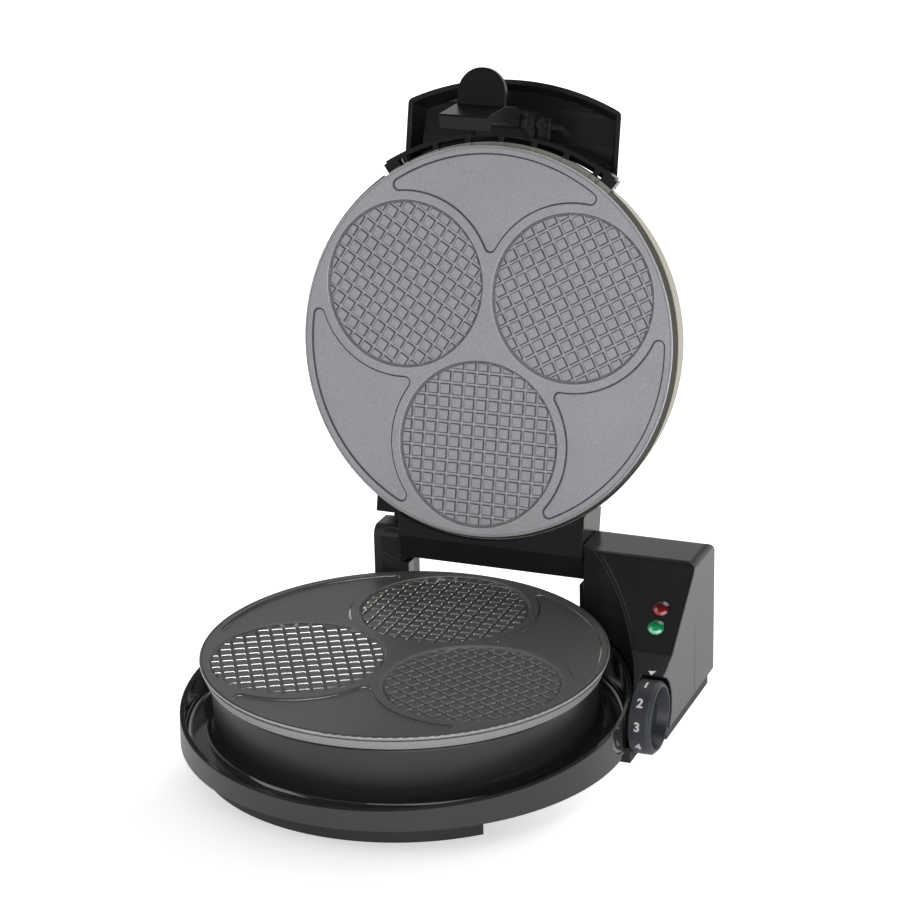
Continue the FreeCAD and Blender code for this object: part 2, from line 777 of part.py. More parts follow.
def terminal_block():
    length, depth, height = TERMINAL_BLOCK
    x, y = TERMINAL_AT
    block = box((x, x + length), (y, y + depth), (TRAY_FLOOR, TRAY_FLOOR + height))
    pitch = length / TERMINAL_WAYS
    slots = []
    for i in range(TERMINAL_WAYS):
        middle = x + pitch * (i + 0.5)
        slots.append(disc(TERMINAL_SLOT_R, TRAY_FLOOR + height / 2, FAR, (middle, y + depth / 2)))
    return block.cut(slots)


def cord_gland():
    x, z = GLAND_AT
    sleeve = rod_y(GLAND_R, POD_BACK - 2 * SHELL_WALL, POD_BACK, x, z)
    flange = rod_y(GLAND_FLANGE_R, POD_BACK, POD_BACK + GLAND_FLANGE, x, z)
    return joined([sleeve, flange]).cut(rod_y(GLAND_BORE_R, 0, FAR, x, z))


# Dial

def bake_dial():
    back = DIAL_RIGHT - DIAL_RECESS
    inside = back - DIAL_FACE
    bore = SHAFT_R + SHAFT_TIGHT
    hub = NOTCH_X + POT_LENGTH + DIAL_AIR / 2
    return turned_x([
        (0, back),
        (DIAL_RECESS_R - DIAL_WALL, back),
        (DIAL_RECESS_R, DIAL_RIGHT),
        (DIAL_R - DIAL_CHAMFER, DIAL_RIGHT),
        (DIAL_R, DIAL_RIGHT - DIAL_CHAMFER),
        (DIAL_R, DIAL_LEFT),
        (DIAL_R - DIAL_WALL, DIAL_LEFT),
        (DIAL_R - DIAL_WALL, inside),
        (DIAL_HUB_R, inside),
        (DIAL_HUB_R, hub),
        (bore, hub),
        (bore, inside + DIAL_FACE / 2),
        (0, inside + DIAL_FACE / 2),
    ], DIAL_Y, DIAL_Z)


def dial_potentiometer():
    body = rod_x(POT_R, NOTCH_X, NOTCH_X + POT_LENGTH, DIAL_Y, DIAL_Z)
    return body.cut(rod_x(SHAFT_R + SHAFT_RUN, NOTCH_X + DIAL_AIR, FAR, DIAL_Y, DIAL_Z))


def dial_shaft():
    inside = DIAL_RIGHT - DIAL_RECESS - DIAL_FACE / 2
    return rod_x(SHAFT_R, NOTCH_X + DIAL_AIR + SHAFT_RUN, inside - SHAFT_TIGHT, DIAL_Y, DIAL_Z)


# Bottom moulding

def tray_solid(grow, low, high):
    """The pod's plan, drawn in, between two heights."""
    plan = box((POD_LEFT + grow, POD_RIGHT - grow), (WEB_FRONT + grow, POD_BACK - grow), (low, high))
    return plan.cut([disc(POD_INNER_R + grow, -FAR, FAR), dial_notch(grow)])


def tray():
    skin = SHELL_WALL + TRAY_GAP
    outer = tray_solid(skin, 0, TRAY_LIP)
    inner = tray_solid(skin + TRAY_WALL, TRAY_FLOOR, FAR)
    posts = [disc(BOSS_R, 0, PAN_LOW, at) for at in POD_BOSSES]
    return joined([outer.cut(inner)] + posts)


def bottom_pan():
    shapes = [disc(SKIRT_R, PAN_LOW, PAN_TOP), tray()]
    shapes.append(disc(CORE_R, 0, PAN_LOW).cut(disc(CORE_R - CORE_WALL, -OVERCUT, FAR)))
    shapes.append(arc_wall(SKIRT_R - SKIRT_WALL, SKIRT_R, 0, PAN_TOP, -90.0, SKIRT_HALF))
    under_pod = POD_LOW - TRAY_GAP
    link_low = under_pod - LINK_THICK
    link_in = SKIRT_R - SKIRT_WALL
    link_out = POD_INNER_R + 2 * SHELL_WALL
    shapes.append(arc_wall(link_in, SKIRT_R, link_low, PAN_TOP, LINK_BEARING, LINK_HALF))
    shapes.append(arc_wall(link_in, link_out, link_low, under_pod, LINK_BEARING, LINK_HALF))
    back_x = (-EAR_OUT + PAN_WALL, POD_LEFT - POD_STEP - POD_GAP - PAN_WALL)
    shapes.append(box(back_x, (BRIDGE_FRONT, POST_BACK - PAN_WALL), (PAN_LOW, PAN_TOP)))
    foot_x = (-EAR_OUT + PAN_WALL, -EAR_OUT + PAN_WALL + BACK_FOOT_LENGTH)
    foot_y = (POST_BACK - PAN_WALL - BACK_FOOT_WIDTH, POST_BACK - PAN_WALL)
    shapes.append(box(foot_x, foot_y, (0, PAN_TOP)))
    dial_foot = box((NOTCH_X - DIAL_FOOT_WIDTH, NOTCH_X), (DIAL_FOOT_FRONT, SLOPE_LOW_Y), (0, under_pod))
    shapes.append(dial_foot)
    whole = joined(shapes)
    rim_seat = disc(RIM_R + TRAY_GAP, RIM_LOW - TRAY_GAP, FAR).cut(disc(RIM_R - RIM_WALL - TRAY_GAP, 0, FAR))
    hole_r = SMALL_SCREW_R + SCREW_HOLE_GAP
    head_r = SMALL_SCREW_HEAD_R + SCREW_HOLE_GAP
    cuts = [rim_seat]
    cuts += [disc(hole_r, -OVERCUT, PAN_TOP, at) for at in base_screw_places()]
    cuts += [disc(head_r, -OVERCUT, PAN_LOW - TRAY_FLOOR, at) for at in POD_BOSSES]
    return whole.cut(cuts)


def small_screw(at, seat):
    head = disc(SMALL_SCREW_HEAD_R, seat - SMALL_SCREW_HEAD, seat, at)
    shank = disc(SMALL_SCREW_R, seat, seat + SMALL_SCREW_LENGTH, at)
    return joined([head, shank])


def bottom_screws():
    rim_places = [polar(BOSS_AT_R, a) for a in BOSS_ANGLES]
    screws = [small_screw(at, PAN_LOW) for at in rim_places]
    screws += [small_screw(at, PAN_LOW - TRAY_FLOOR) for at in POD_BOSSES]
    return Part.makeCompound(screws)


def hinge_pin(left, right):
    return rod_x(PIN_R, left, right, AXIS_Y, AXIS_Z)


# Lid, modelled closed

def cover_side(z):
    """Radius of the cover's leaning side at a height."""
    return COVER_R - COVER_LEAN * (z - COVER_LOW)


def cover_envelope(gap):
    return turned([
        (0, PLATE_TOP),
        (cover_side(PLATE_TOP) + gap, PLATE_TOP),
        (cover_side(COVER_TOP) + gap, COVER_TOP + gap, COVER_ROUND + gap),
        (0, COVER_TOP + gap),
    ])


def lid_cover():
    """Stainless dome, notched at the front where the guard comes out from under it."""
    dome = turned([
        (0, COVER_TOP - COVER_SHEET),
        (cover_side(COVER_TOP) - COVER_SHEET, COVER_TOP - COVER_SHEET, COVER_ROUND - COVER_SHEET),
        (COVER_R - COVER_SHEET, COVER_LOW),
        (COVER_R, COVER_LOW),
        (cover_side(COVER_TOP), COVER_TOP, COVER_ROUND),
        (0, COVER_TOP),
    ])
    notch_half = GUARD_END + END_HALF + COVER_NOTCH_SIDE
    notch = arc_wall(FLANGE_R, FAR, COVER_LOW - OVERCUT, RING_LOW + COVER_NOTCH_AIR, -90.0, notch_half)
    return dome.cut(notch)


def guard_strip():
    """Arc strip that keeps fingers off the plate, with ribs to the ring and lugs for the latch."""
    outer = GUARD_R + GUARD_WALL
    shapes = [
        arc_wall(GUARD_R, outer, GUARD_LOW, GUARD_LOW + GUARD_STRIP, -90.0, GUARD_HALF, GUARD_CENTRE),
        arc_wall(GUARD_R, outer, GUARD_LOW, HANDLE_LOW - GUARD_AIR, -90.0, GUARD_DEEP_HALF, GUARD_CENTRE),
    ]
    lip_top = RING_LOW - LID_FIT
    lip_low = 2 * PARTING - PLATE_LOW + LIP_AIR
    ring_out = cover_side(RING_LOW)
    lip_in = ring_out - 2 * RING_WALL
    lip = arc_wall(lip_in, LIP_OUT, lip_low, lip_top, -90.0, GUARD_END + END_HALF)
    seat = arc_wall(lip_in, ring_out - RING_WALL, lip_top, RING_LOW, -90.0, GUARD_END)
    shapes += [lip, seat]
    reach = disc(GUARD_R + GUARD_WALL / 2, 0, FAR, (0.0, GUARD_CENTRE))
    pitch = 2 * RIB_SPAN / (RIB_COUNT - 1)
    for i in range(RIB_COUNT):
        bearing = -90.0 - RIB_SPAN + pitch * i
        shapes.append(arc_wall(RIB_IN, FAR, GUARD_LOW, lip_top, bearing, RIB_HALF).common(reach))
    for bearing in (-90.0 - GUARD_END, -90.0 + GUARD_END):
        shapes.append(arc_wall(RIB_IN, FAR, GUARD_LOW, lip_top, bearing, END_HALF).common(reach))
        end = arc_wall(LIP_OUT, FAR, GUARD_LOW, GUARD_LOW + GUARD_STRIP, bearing, END_HALF)
        shapes.append(end.common(reach))
    for x in (-TAB_X, TAB_X):
        shapes.append(box((x - BOSS_R, x + BOSS_R), (TAB_Y, -GUARD_FRONT), (TAB_LOW, TAB_TOP)))
        shapes.append(disc(BOSS_R, TAB_LOW, TAB_TOP, (x, TAB_Y)))
    return shapes + latch_lugs()


def latch_lugs():
    """Two lugs for the latch pin, and the web between them that the latch rests on."""
    root = -GUARD_FRONT
    out = LATCH_PIVOT_Y - LATCH_EYE_R
    back = LATCH_PIVOT_Y + LATCH_EYE_R
    low = LATCH_PIVOT_Z - LATCH_EYE_R
    high = GUARD_LOW + GUARD_STRIP
    near = LATCH_HALF + LATCH_SIDE_AIR
    lug = [(root, high), (out, high), (out, low, LATCH_EYE_R), (back, low), (root, GUARD_LOW)]
    shapes = []
    for sides in ((-near - LATCH_LUG, -near), (near, near + LATCH_LUG)):
        shapes.append(across(lug, sides[0], sides[1]))
    web_y = (back + LATCH_STOP_AIR, back + LATCH_STOP_AIR + GUARD_WALL)
    shapes.append(box((-near, near), web_y, (LATCH_PIVOT_Z, high)))
    shapes.append(box((-near, near), (web_y[0], root), (GUARD_LOW, high)))
    return shapes


def lid_ring():
    ring_top = RING_LOW + RING_HEIGHT
    inset = COVER_SHEET + LID_FIT
    wall_in = cover_side(ring_top) - inset - RING_WALL
    ring = turned([
        (FLANGE_R, RING_LOW),
        (cover_side(RING_LOW) - inset, RING_LOW),
        (cover_side(ring_top) - inset, ring_top),
        (wall_in, ring_top),
        (wall_in, RING_FLANGE_TOP),
        (FLANGE_R, RING_FLANGE_TOP),
    ])
    whole = joined([ring] + guard_strip())
    hole_r = SMALL_SCREW_R + SCREW_HOLE_GAP
    cuts = plate_screw_holes()
    cuts += [disc(hole_r, TAB_LOW - OVERCUT, FAR, (x, TAB_Y)) for x in (-TAB_X, TAB_X)]
    cuts.append(rod_x(LATCH_PIN_R + PIN_TIGHT, -FAR, FAR, LATCH_PIVOT_Y, LATCH_PIVOT_Z))
    return whole.cut(cuts)


def hinge_profile(grow):
    top = COVER_TOP - COVER_SHEET - grow
    return [
        (HINGE_WING_BACK - HINGE_DROP, HINGE_LOW + grow),
        (AXIS_Y + HINGE_CREASE, HINGE_LOW + grow),
        (HINGE_BACK - grow, AXIS_Z - HINGE_DROP / 2 + grow / 2),
        (HINGE_BACK - grow, HINGE_BACK_TOP - grow),
        (COVER_R, top),
        (HINGE_WING_BACK - HINGE_DROP, top),
    ]


def hinge_housing():
    block = across(hinge_profile(0.0), HINGE_LEFT, HINGE_RIGHT)
    room = across(hinge_profile(HINGE_WALL), HINGE_LEFT + HINGE_WALL, HINGE_RIGHT - HINGE_WALL)
    wing_y = (HINGE_WING_BACK - HINGE_DROP, HINGE_WING_BACK)
    wing_z = (RING_LOW, COVER_TOP - COVER_SHEET)
    wing = box((-HINGE_WING, HINGE_WING), wing_y, wing_z)
    wing_room = box((-HINGE_WING + HINGE_WALL, HINGE_WING - HINGE_WALL), (0, HINGE_WING_BACK - HINGE_WALL),
                    (RING_LOW + HINGE_WALL, COVER_TOP - COVER_SHEET - HINGE_WALL))
    bosses = [
        rod_x(HINGE_BOSS_R, HINGE_LEFT, HINGE_LEFT + PIN_GRIP, AXIS_Y, AXIS_Z),
        rod_x(HINGE_BOSS_R, HINGE_RIGHT - PIN_GRIP, HINGE_RIGHT, AXIS_Y, AXIS_Z),
    ]
    shell = joined([block, wing]).cut([room, wing_room])
    shell = joined([shell] + bosses)
    cuts = [
        cover_envelope(LID_FIT),
        rod_x(PIN_R + PIN_RUN, -FAR, HINGE_LEFT + PIN_GRIP, AXIS_Y, AXIS_Z),
        rod_x(PIN_R + PIN_RUN, HINGE_RIGHT - PIN_GRIP, FAR, AXIS_Y, AXIS_Z),
    ]
    return shell.cut(cuts)


# Handle and latch, modelled with the lid closed

def handle_rear(grow):
    """What the handle's rear wall goes round: the cover and the air beside it."""
    gap = HANDLE_REAR_GAP + grow
    return Part.makeCone(cover_side(0) + gap, cover_side(FAR) + gap, FAR, Vec(0, 0, 0))


def handle_block(grow, low):
    """The handle's outer form down to a height, or its hollow when it is drawn in by a wall."""
    front = -2 * HANDLE_R
    top = HANDLE_CROWN - grow
    solid = across([
        (front, low),
        (front, HANDLE_LOW + HANDLE_FRONT_HEIGHT - grow),
        (-HANDLE_R, HANDLE_LOW + HANDLE_FRONT_HEIGHT - grow),
        (HANDLE_CROWN_Y, top, HANDLE_FRONT_HEIGHT),
        (-COVER_R, top - HANDLE_WALL, HANDLE_FRONT_HEIGHT),
        (0, top - 2 * HANDLE_WALL),
        (0, low),
    ], -HANDLE_HALF, HANDLE_HALF)
    height = HANDLE_CROWN - low
    narrowing = HANDLE_DRAFT * height
    wider = HANDLE_DRAFT * (HANDLE_LOW - low) - grow
    radius = HANDLE_R + wider
    half = HANDLE_HALF + wider
    cone = Part.makeCone(radius, radius - narrowing, height, Vec(0, 0, low))
    sides = [(-half, low), (half, low), (half - narrowing, HANDLE_CROWN), (narrowing - half, HANDLE_CROWN)]
    wedge = outline(sides, lambda p: Vec(p.x, 0, p.y)).extrude(Vec(0, -FAR, 0))
    return solid.common(cone).common(wedge).cut(handle_rear(grow))


def rounded_handle():
    solid = handle_block(0.0, HANDLE_LOW)
    corners = []
    for edge in solid.Edges:
        span = edge.BoundBox
        if span.ZLength > HANDLE_FRONT_HEIGHT / 2 and span.YMax < HANDLE_CROWN_Y + HANDLE_CORNER:
            corners.append(edge)
    return solid.makeFillet(HANDLE_CORNER, corners)


def handle():
    room = handle_block(HANDLE_WALL, HANDLE_LOW - HANDLE_WALL)
    shapes = [rounded_handle().cut(room)]
    below = handle_block(0.0, GUARD_LOW)
    for x in (-TAB_X, TAB_X):
        shapes.append(disc(BOSS_R, TAB_TOP, FAR, (x, TAB_Y)).common(below))
    deep = TAB_LOW + SMALL_SCREW_LENGTH + SCREW_TIP_AIR
    threads = [disc(SMALL_SCREW_R + THREAD_GAP, TAB_TOP, deep, (x, TAB_Y)) for x in (-TAB_X, TAB_X)]
    return joined(shapes).cut(threads)


def handle_screws():
    return Part.makeCompound([small_screw((x, TAB_Y), TAB_LOW) for x in (-TAB_X, TAB_X)])


def latch():
    """Hook that hangs in front of the rim, with its lip under the rim's lower edge."""
    inner = -(RIM_R + LATCH_RIM_AIR)
    lip_top = RIM_LOW - LATCH_LIP_AIR
    lip_end = inner + LATCH_LIP
    thumb_top = THUMB_Z + THUMB_THICK
    shoulder = LATCH_PIVOT_Z - LATCH_SHOULDER
    arm = across([
        (inner, lip_top),
        (lip_end, lip_top),
        (lip_end, lip_top - LATCH_LIP_TIP),
        (inner - LATCH_LIP_BACK, lip_top - LATCH_LIP_ROOT, LATCH_HEEL_ROUND),
        (LATCH_FACE_Y, THUMB_Z),
        (LATCH_FACE_Y, shoulder),
        (LATCH_PIVOT_Y - LATCH_EYE_R, LATCH_PIVOT_Z),
        (LATCH_PIVOT_Y + LATCH_EYE_R, LATCH_PIVOT_Z),
        (LATCH_PIVOT_Y + LATCH_EYE_R, shoulder),
        (inner, thumb_top),
    ], -LATCH_HALF, LATCH_HALF)
    eye = rod_x(LATCH_EYE_R, -LATCH_HALF, LATCH_HALF, LATCH_PIVOT_Y, LATCH_PIVOT_Z)
    centre = -(THUMB_REACH - THUMB_R)
    tab = joined([
        box((-THUMB_R, THUMB_R), (centre, LATCH_FACE_Y + THUMB_THICK), (THUMB_Z, thumb_top)),
        disc(THUMB_R, THUMB_Z, thumb_top, (0, centre)),
    ])
    bore = rod_x(LATCH_PIN_R + PIN_RUN, -FAR, FAR, LATCH_PIVOT_Y, LATCH_PIVOT_Z)
    return joined([arm, eye, tab]).cut(bore)


def latch_pin():
    end = LATCH_HALF + LATCH_SIDE_AIR + LATCH_LUG
    return rod_x(LATCH_PIN_R, -end, end, LATCH_PIVOT_Y, LATCH_PIVOT_Z)


def main():
    plate = baking_plate()
    element = heating_element()
    reflector = heat_reflector()
    standoffs = plate_standoffs()
    screws = plate_screws()
    base_pieces = {
        "base_shell": base_shell(),
        "bottom_pan": bottom_pan(),
        "bottom_screws": bottom_screws(),
        "control_housing": control_housing(),
        "control_panel": control_panel(),
        "red_lens": lens(LENS_RED_Y),
        "green_lens": lens(LENS_GREEN_Y),
        "indicator_lamps": indicator_lamps(),
        "control_board": control_board(),
        "terminal_block": terminal_block(),
        "cord_gland": cord_gland(),
        "dial_potentiometer": dial_potentiometer(),
        "dial_shaft": dial_shaft(),
        "bake_dial": bake_dial(),
        "lower_plate": plate,
        "lower_heating_element": element,
        "lower_heat_reflector": reflector,
        "lower_plate_standoffs": standoffs,
        "lower_plate_screws": screws,
        "plate_thermostat": plate_sensor(),
        "hinge_pin_left": hinge_pin(-EAR_IN - PIN_GRIP + SCREW_TIP_AIR, HINGE_LEFT + PIN_GRIP),
        "hinge_pin_right": hinge_pin(HINGE_RIGHT - PIN_GRIP, POD_LEFT + PIN_GRIP - SCREW_TIP_AIR),
    }
    lid_pieces = {
        "upper_plate": lid_twin(plate),
        "upper_heating_element": lid_twin(element),
        "upper_heat_reflector": lid_twin(reflector),
        "upper_plate_standoffs": lid_twin(standoffs),
        "upper_plate_screws": lid_twin(screws),
        "thermal_cutout": lid_twin(plate_sensor()),
        "lid_cover": lid_cover(),
        "lid_ring": lid_ring(),
        "hinge_housing": hinge_housing(),
        "handle": handle(),
        "handle_screws": handle_screws(),
        "latch": latch(),
        "latch_pin": latch_pin(),
    }
    pieces = dict(base_pieces)
    for name, shape in lid_pieces.items():
        pieces[name] = opened(shape)
    os.makedirs("parts", exist_ok=True)
    for name, shape in pieces.items():
        solids = shape.Solids
        print(name, len(solids), "solids", round(shape.Volume / 1000, 2), "cm3", shape.isValid())
        shape.exportStep("parts/" + name + ".step")


main()
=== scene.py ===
# %% [markdown]
# A waffle cone maker, dressed for a photograph.
# The solid parts come in as a fixed frame, with the right shapes and places already, in metres.
# This lesson gives them their finishes and adds what a solid model lacks, such as printed numbers.

# %% Load the solid parts
import math

import bmesh
import bpy
from mathutils import Matrix, Vector


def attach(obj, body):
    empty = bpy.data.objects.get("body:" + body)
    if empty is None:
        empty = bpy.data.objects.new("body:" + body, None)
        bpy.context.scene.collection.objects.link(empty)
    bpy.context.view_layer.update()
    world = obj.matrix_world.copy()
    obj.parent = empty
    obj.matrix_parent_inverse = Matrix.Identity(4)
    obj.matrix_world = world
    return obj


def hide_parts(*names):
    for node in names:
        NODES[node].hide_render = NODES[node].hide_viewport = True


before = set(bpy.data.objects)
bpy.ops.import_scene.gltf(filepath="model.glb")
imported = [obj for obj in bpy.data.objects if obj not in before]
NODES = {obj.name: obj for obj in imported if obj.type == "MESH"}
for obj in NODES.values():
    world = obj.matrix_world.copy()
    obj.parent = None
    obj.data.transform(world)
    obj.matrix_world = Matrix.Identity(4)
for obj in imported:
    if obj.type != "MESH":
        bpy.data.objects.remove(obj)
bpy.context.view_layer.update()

MM = 0.001

# %% [markdown]
# The camera looks at the machine from where the photograph was taken.
# It could be placed by eye, but then every later comparison would be off by a little.
# Its place was worked out from the plates, which are true circles, so it is written as numbers.
# A long lens, about 109 mm on a 36 mm sensor, keeps the near rim from looking too large.

# %% Camera
CAMERA_AT = Vector((0.554878, -1.290211, 0.679476))
CAMERA_AZIMUTH = math.radians(22.1216)
CAMERA_ELEVATION = math.radians(19.6562)
CAMERA_ROLL = math.radians(-1.3286)
CAMERA_LENS = 108.703
CAMERA_REACH = 50.0
SENSOR = 36.0


def new_object(name, data):
    """An object that holds this data, linked into the scene."""
    made = bpy.data.objects.new(name, data)
    bpy.context.scene.collection.objects.link(made)
    return made


def camera_axes():
    ahead = Vector((
        -math.sin(CAMERA_AZIMUTH) * math.cos(CAMERA_ELEVATION),
        math.cos(CAMERA_AZIMUTH) * math.cos(CAMERA_ELEVATION),
        -math.sin(CAMERA_ELEVATION),
    ))
    right = Vector((math.cos(CAMERA_AZIMUTH), math.sin(CAMERA_AZIMUTH), 0.0))
    up = right.cross(ahead)
    turned_right = right * math.cos(CAMERA_ROLL) + up * math.sin(CAMERA_ROLL)
    turned_up = up * math.cos(CAMERA_ROLL) - right * math.sin(CAMERA_ROLL)
    return turned_right, turned_up, ahead


def place_camera():
    right, up, ahead = camera_axes()
    data = bpy.data.cameras.new("photo_camera")
    data.sensor_width = SENSOR
    data.lens = CAMERA_LENS
    data.clip_end = CAMERA_REACH
    camera = new_object("photo_camera", data)
    turn = Matrix((right, up, -ahead)).transposed().to_4x4()
    camera.matrix_world = Matrix.Translation(CAMERA_AT) @ turn
    bpy.context.scene.camera = camera
    return camera


print("camera at", place_camera().location[:])

# %% [markdown]
# Shader maths reads best as plain sums.
# Nodes can be made and linked one at a time, but a short formula then fills a page.
# This small class holds one socket of a node tree instead.
# With it, `1 - mask` or `height * 2` adds the Math nodes itself.
# Its `node` method makes any other node: first the settings, then its sockets' values or links.

# %% A socket that can be calculated with
# A Mix node has sockets for every kind of value. These are the ones that mix colours.
MIX_FACTOR, MIX_FIRST, MIX_SECOND, MIX_RESULT = 0, 6, 7, 2


class Wire:
    def __init__(self, tree, socket):
        self.tree = tree
        self.socket = socket

    def feed(self, socket, value):
        if isinstance(value, Wire):
            self.tree.links.new(value.socket, socket)
        else:
            socket.default_value = value

    def node(self, kind, settings=None, sockets=None, out=0):
        made = self.tree.nodes.new(kind)
        for key, value in (settings or {}).items():
            setattr(made, key, value)
        for key, value in (sockets or {}).items():
            self.feed(made.inputs[key], value)
        return Wire(self.tree, made.outputs[out])

    def outputs(self):
        """Every output of the node that this socket belongs to, by name."""
        return {socket.name: Wire(self.tree, socket) for socket in self.socket.node.outputs}

    def maths(self, operation, first, second):
        return self.node("ShaderNodeMath", {"operation": operation}, {0: first, 1: second})

    def __add__(self, other):
        return self.maths("ADD", self, other)

    def __radd__(self, other):
        return self.maths("ADD", other, self)

    def __sub__(self, other):
        return self.maths("SUBTRACT", self, other)

    def __rsub__(self, other):
        return self.maths("SUBTRACT", other, self)

    def __mul__(self, other):
        return self.maths("MULTIPLY", self, other)

    def __rmul__(self, other):
        return self.maths("MULTIPLY", other, self)

    def __pow__(self, other):
        return self.maths("POWER", self, other)

    def smaller(self, other):
        return self.maths("MINIMUM", self, other)

    def zigzag(self, half):
        """Goes from 0 up to half and back to 0, again and again."""
        return self.maths("PINGPONG", self, half)

    def step(self, low, high):
        """0 below low, 1 above high, smooth between."""
        sockets = {"Value": self, "From Min": low, "From Max": high}
        return self.node("ShaderNodeMapRange", {"interpolation_type": "SMOOTHSTEP"}, sockets)

    def between(self, rise, fall):
        """1 from the rise to the fall. Each is a pair: where the change starts and ends."""
        return self.step(*rise) * (1.0 - self.step(*fall))

    def limited(self):
        """The same mask, kept between 0 and 1."""
        return self.step(0.0, 1.0)

    def swing(self, amount):
        """Turns a pattern of 0 to 1 into a change of half the amount, down and up."""
        return (self - 0.5) * amount

    def blend(self, first, second):
        """First colour where this is 0, second where it is 1."""
        first, second = [c if isinstance(c, Wire) else (*c, 1.0) for c in (first, second)]
        sockets = {MIX_FACTOR: self, MIX_FIRST: first, MIX_SECOND: second}
        return self.node("ShaderNodeMix", {"data_type": "RGBA"}, sockets, out=MIX_RESULT)


def radius_of(x, y):
    return (x * x + y * y) ** 0.5


print("wires ready")

# %% [markdown]
# Every finish starts the same way: a new material, its Principled shader and Object coordinates.
# Each part keeps its place in its mesh, so Object coordinates are places on the machine, in metres.
# That lets one finish know that the trough is glossy and the rim is satin, with no painted masks.

# %% Start a finish
FINE_DETAIL = 2.0
GRAIN_DETAIL = 3.0
CLOUD_DETAIL = 4.0
EDGE_SAMPLES = 4
PLASTIC_IOR = 1.5


class Finish:
    def __init__(self, name, **constants):
        self.material = bpy.data.materials.new(name)
        self.material.use_nodes = True
        tree = self.material.node_tree
        self.shader = tree.nodes["Principled BSDF"]
        for socket, value in constants.items():
            self.shader.inputs[socket.replace("_", " ")].default_value = value
        self.wire = Wire(tree, None)
        self.place = self.wire.node("ShaderNodeTexCoord", out="Object")

    def axes(self, place=None):
        """The three coordinates of a place, in millimetres."""
        scaled = self.wire.node("ShaderNodeVectorMath", {"operation": "SCALE"},
                                {"Vector": place or self.place, "Scale": 1.0 / MM})
        split = self.wire.node("ShaderNodeSeparateXYZ", sockets={"Vector": scaled})
        return split.outputs().values()

    def noise(self, size_mm, detail, stretch=None):
        """Cloudy pattern whose lumps are about size_mm across."""
        where = self.place
        if stretch:
            where = self.wire.node("ShaderNodeMapping", sockets={"Vector": where, "Scale": stretch})
        sockets = {"Vector": where, "Scale": 1.0 / (size_mm * MM), "Detail": detail}
        return self.wire.node("ShaderNodeTexNoise", sockets=sockets)

    def cells(self, size_mm):
        """Random grey for each small cell."""
        sockets = {"Vector": self.place, "Scale": 1.0 / (size_mm * MM)}
        found = self.wire.node("ShaderNodeTexVoronoi", sockets=sockets, out="Color")
        return self.wire.node("ShaderNodeSeparateColor", sockets={"Color": found})

    def soft_edges(self, radius_mm):
        """Normals as if the edges were rounded."""
        sockets = {"Radius": radius_mm * MM}
        return self.wire.node("ShaderNodeBevel", {"samples": EDGE_SAMPLES}, sockets)

    def bump(self, height, depth_mm, strength, normal=None):
        sockets = {"Height": height, "Distance": depth_mm * MM, "Strength": strength}
        if normal:
            sockets["Normal"] = normal
        return self.wire.node("ShaderNodeBump", sockets=sockets)

    def done(self, **varying):
        for socket, value in varying.items():
            self.wire.feed(self.shader.inputs[socket.replace("_", " ")], value)
        return self.material


def dress(material, *names):
    for name in names:
        part = NODES[name]
        part.data.materials.clear()
        part.data.materials.append(material)
    print(material.name, "on", ", ".join(names))


print("finish tools ready")

# %% [markdown]
# The base is black moulded plastic.
# The real mould is polished in the trough, so that batter wipes off. The rim and drum are satin.
# Two materials could be given to two sets of faces, but one finish can also follow the place.
# A mask of height and distance from the middle sets the gloss, and a fine noise is the grain.
# Pairs of numbers such as RIM say where a zone starts and where it is whole, in millimetres.

# %% Black plastic of the base
SATIN = 0.36
POLISHED = 0.1
POLISH_COAT = 0.4
RIM = (127.0, 127.8)
BESIDE_DRUM = (111.0, 113.0)
ABOVE_TROUGH = (22.0, 32.0)
BASE_GRAIN_MM = 0.35
BASE_WIPES_MM = 45.0
BASE_UNEVEN = 0.08
BASE_TINTS = ((0.019, 0.0198, 0.0211), (0.026, 0.0271, 0.0288))


def base_plastic():
    finish = Finish("base_plastic", IOR=PLASTIC_IOR, Specular_IOR_Level=0.6, Coat_Roughness=0.06)
    x, y, z = finish.axes()
    around = radius_of(x, y)
    drum = 1.0 - around.step(*BESIDE_DRUM)
    satin = (around.step(*RIM) + drum * z.step(*ABOVE_TROUGH)).limited()
    grain = finish.noise(BASE_GRAIN_MM, GRAIN_DETAIL)
    wipes = finish.noise(BASE_WIPES_MM, CLOUD_DETAIL)
    rough = POLISHED + satin * (SATIN - POLISHED) + wipes.swing(BASE_UNEVEN)
    gloss = (1.0 - satin) * POLISH_COAT
    rounded = finish.soft_edges(radius_mm=0.7)
    normal = finish.bump(grain * satin, depth_mm=0.02, strength=0.5, normal=rounded)
    tint = wipes.blend(*BASE_TINTS)
    return finish.done(Base_Color=tint, Roughness=rough, Coat_Weight=gloss, Normal=normal)


dress(base_plastic(), "base_shell")

# %% [markdown]
# The other black mouldings share one recipe and differ in gloss, grain and shade.
# The handle and the hinge are polished and very dark, the latch is satin and the bottom is matt.
# A black that is a little blue looks more like moulded plastic than a neutral one.

# %% Other black plastics
WIPES_MM = 38.0
PLASTIC_UNEVEN = 0.1
BLUISH = (1.0, 1.04, 1.12)


def bluish(level):
    return tuple(level * share for share in BLUISH)


def black_plastic(name, roughness, grain_mm, edge_mm, dark, light, shine=0.4):
    finish = Finish(name, IOR=PLASTIC_IOR, Specular_IOR_Level=shine)
    grain = finish.noise(grain_mm, GRAIN_DETAIL)
    wipes = finish.noise(WIPES_MM, CLOUD_DETAIL)
    rough = roughness + wipes.swing(PLASTIC_UNEVEN)
    rounded = finish.soft_edges(edge_mm)
    normal = finish.bump(grain, depth_mm=0.015, strength=0.4, normal=rounded)
    tint = wipes.blend(bluish(dark), bluish(light))
    return finish.done(Base_Color=tint, Roughness=rough, Normal=normal)


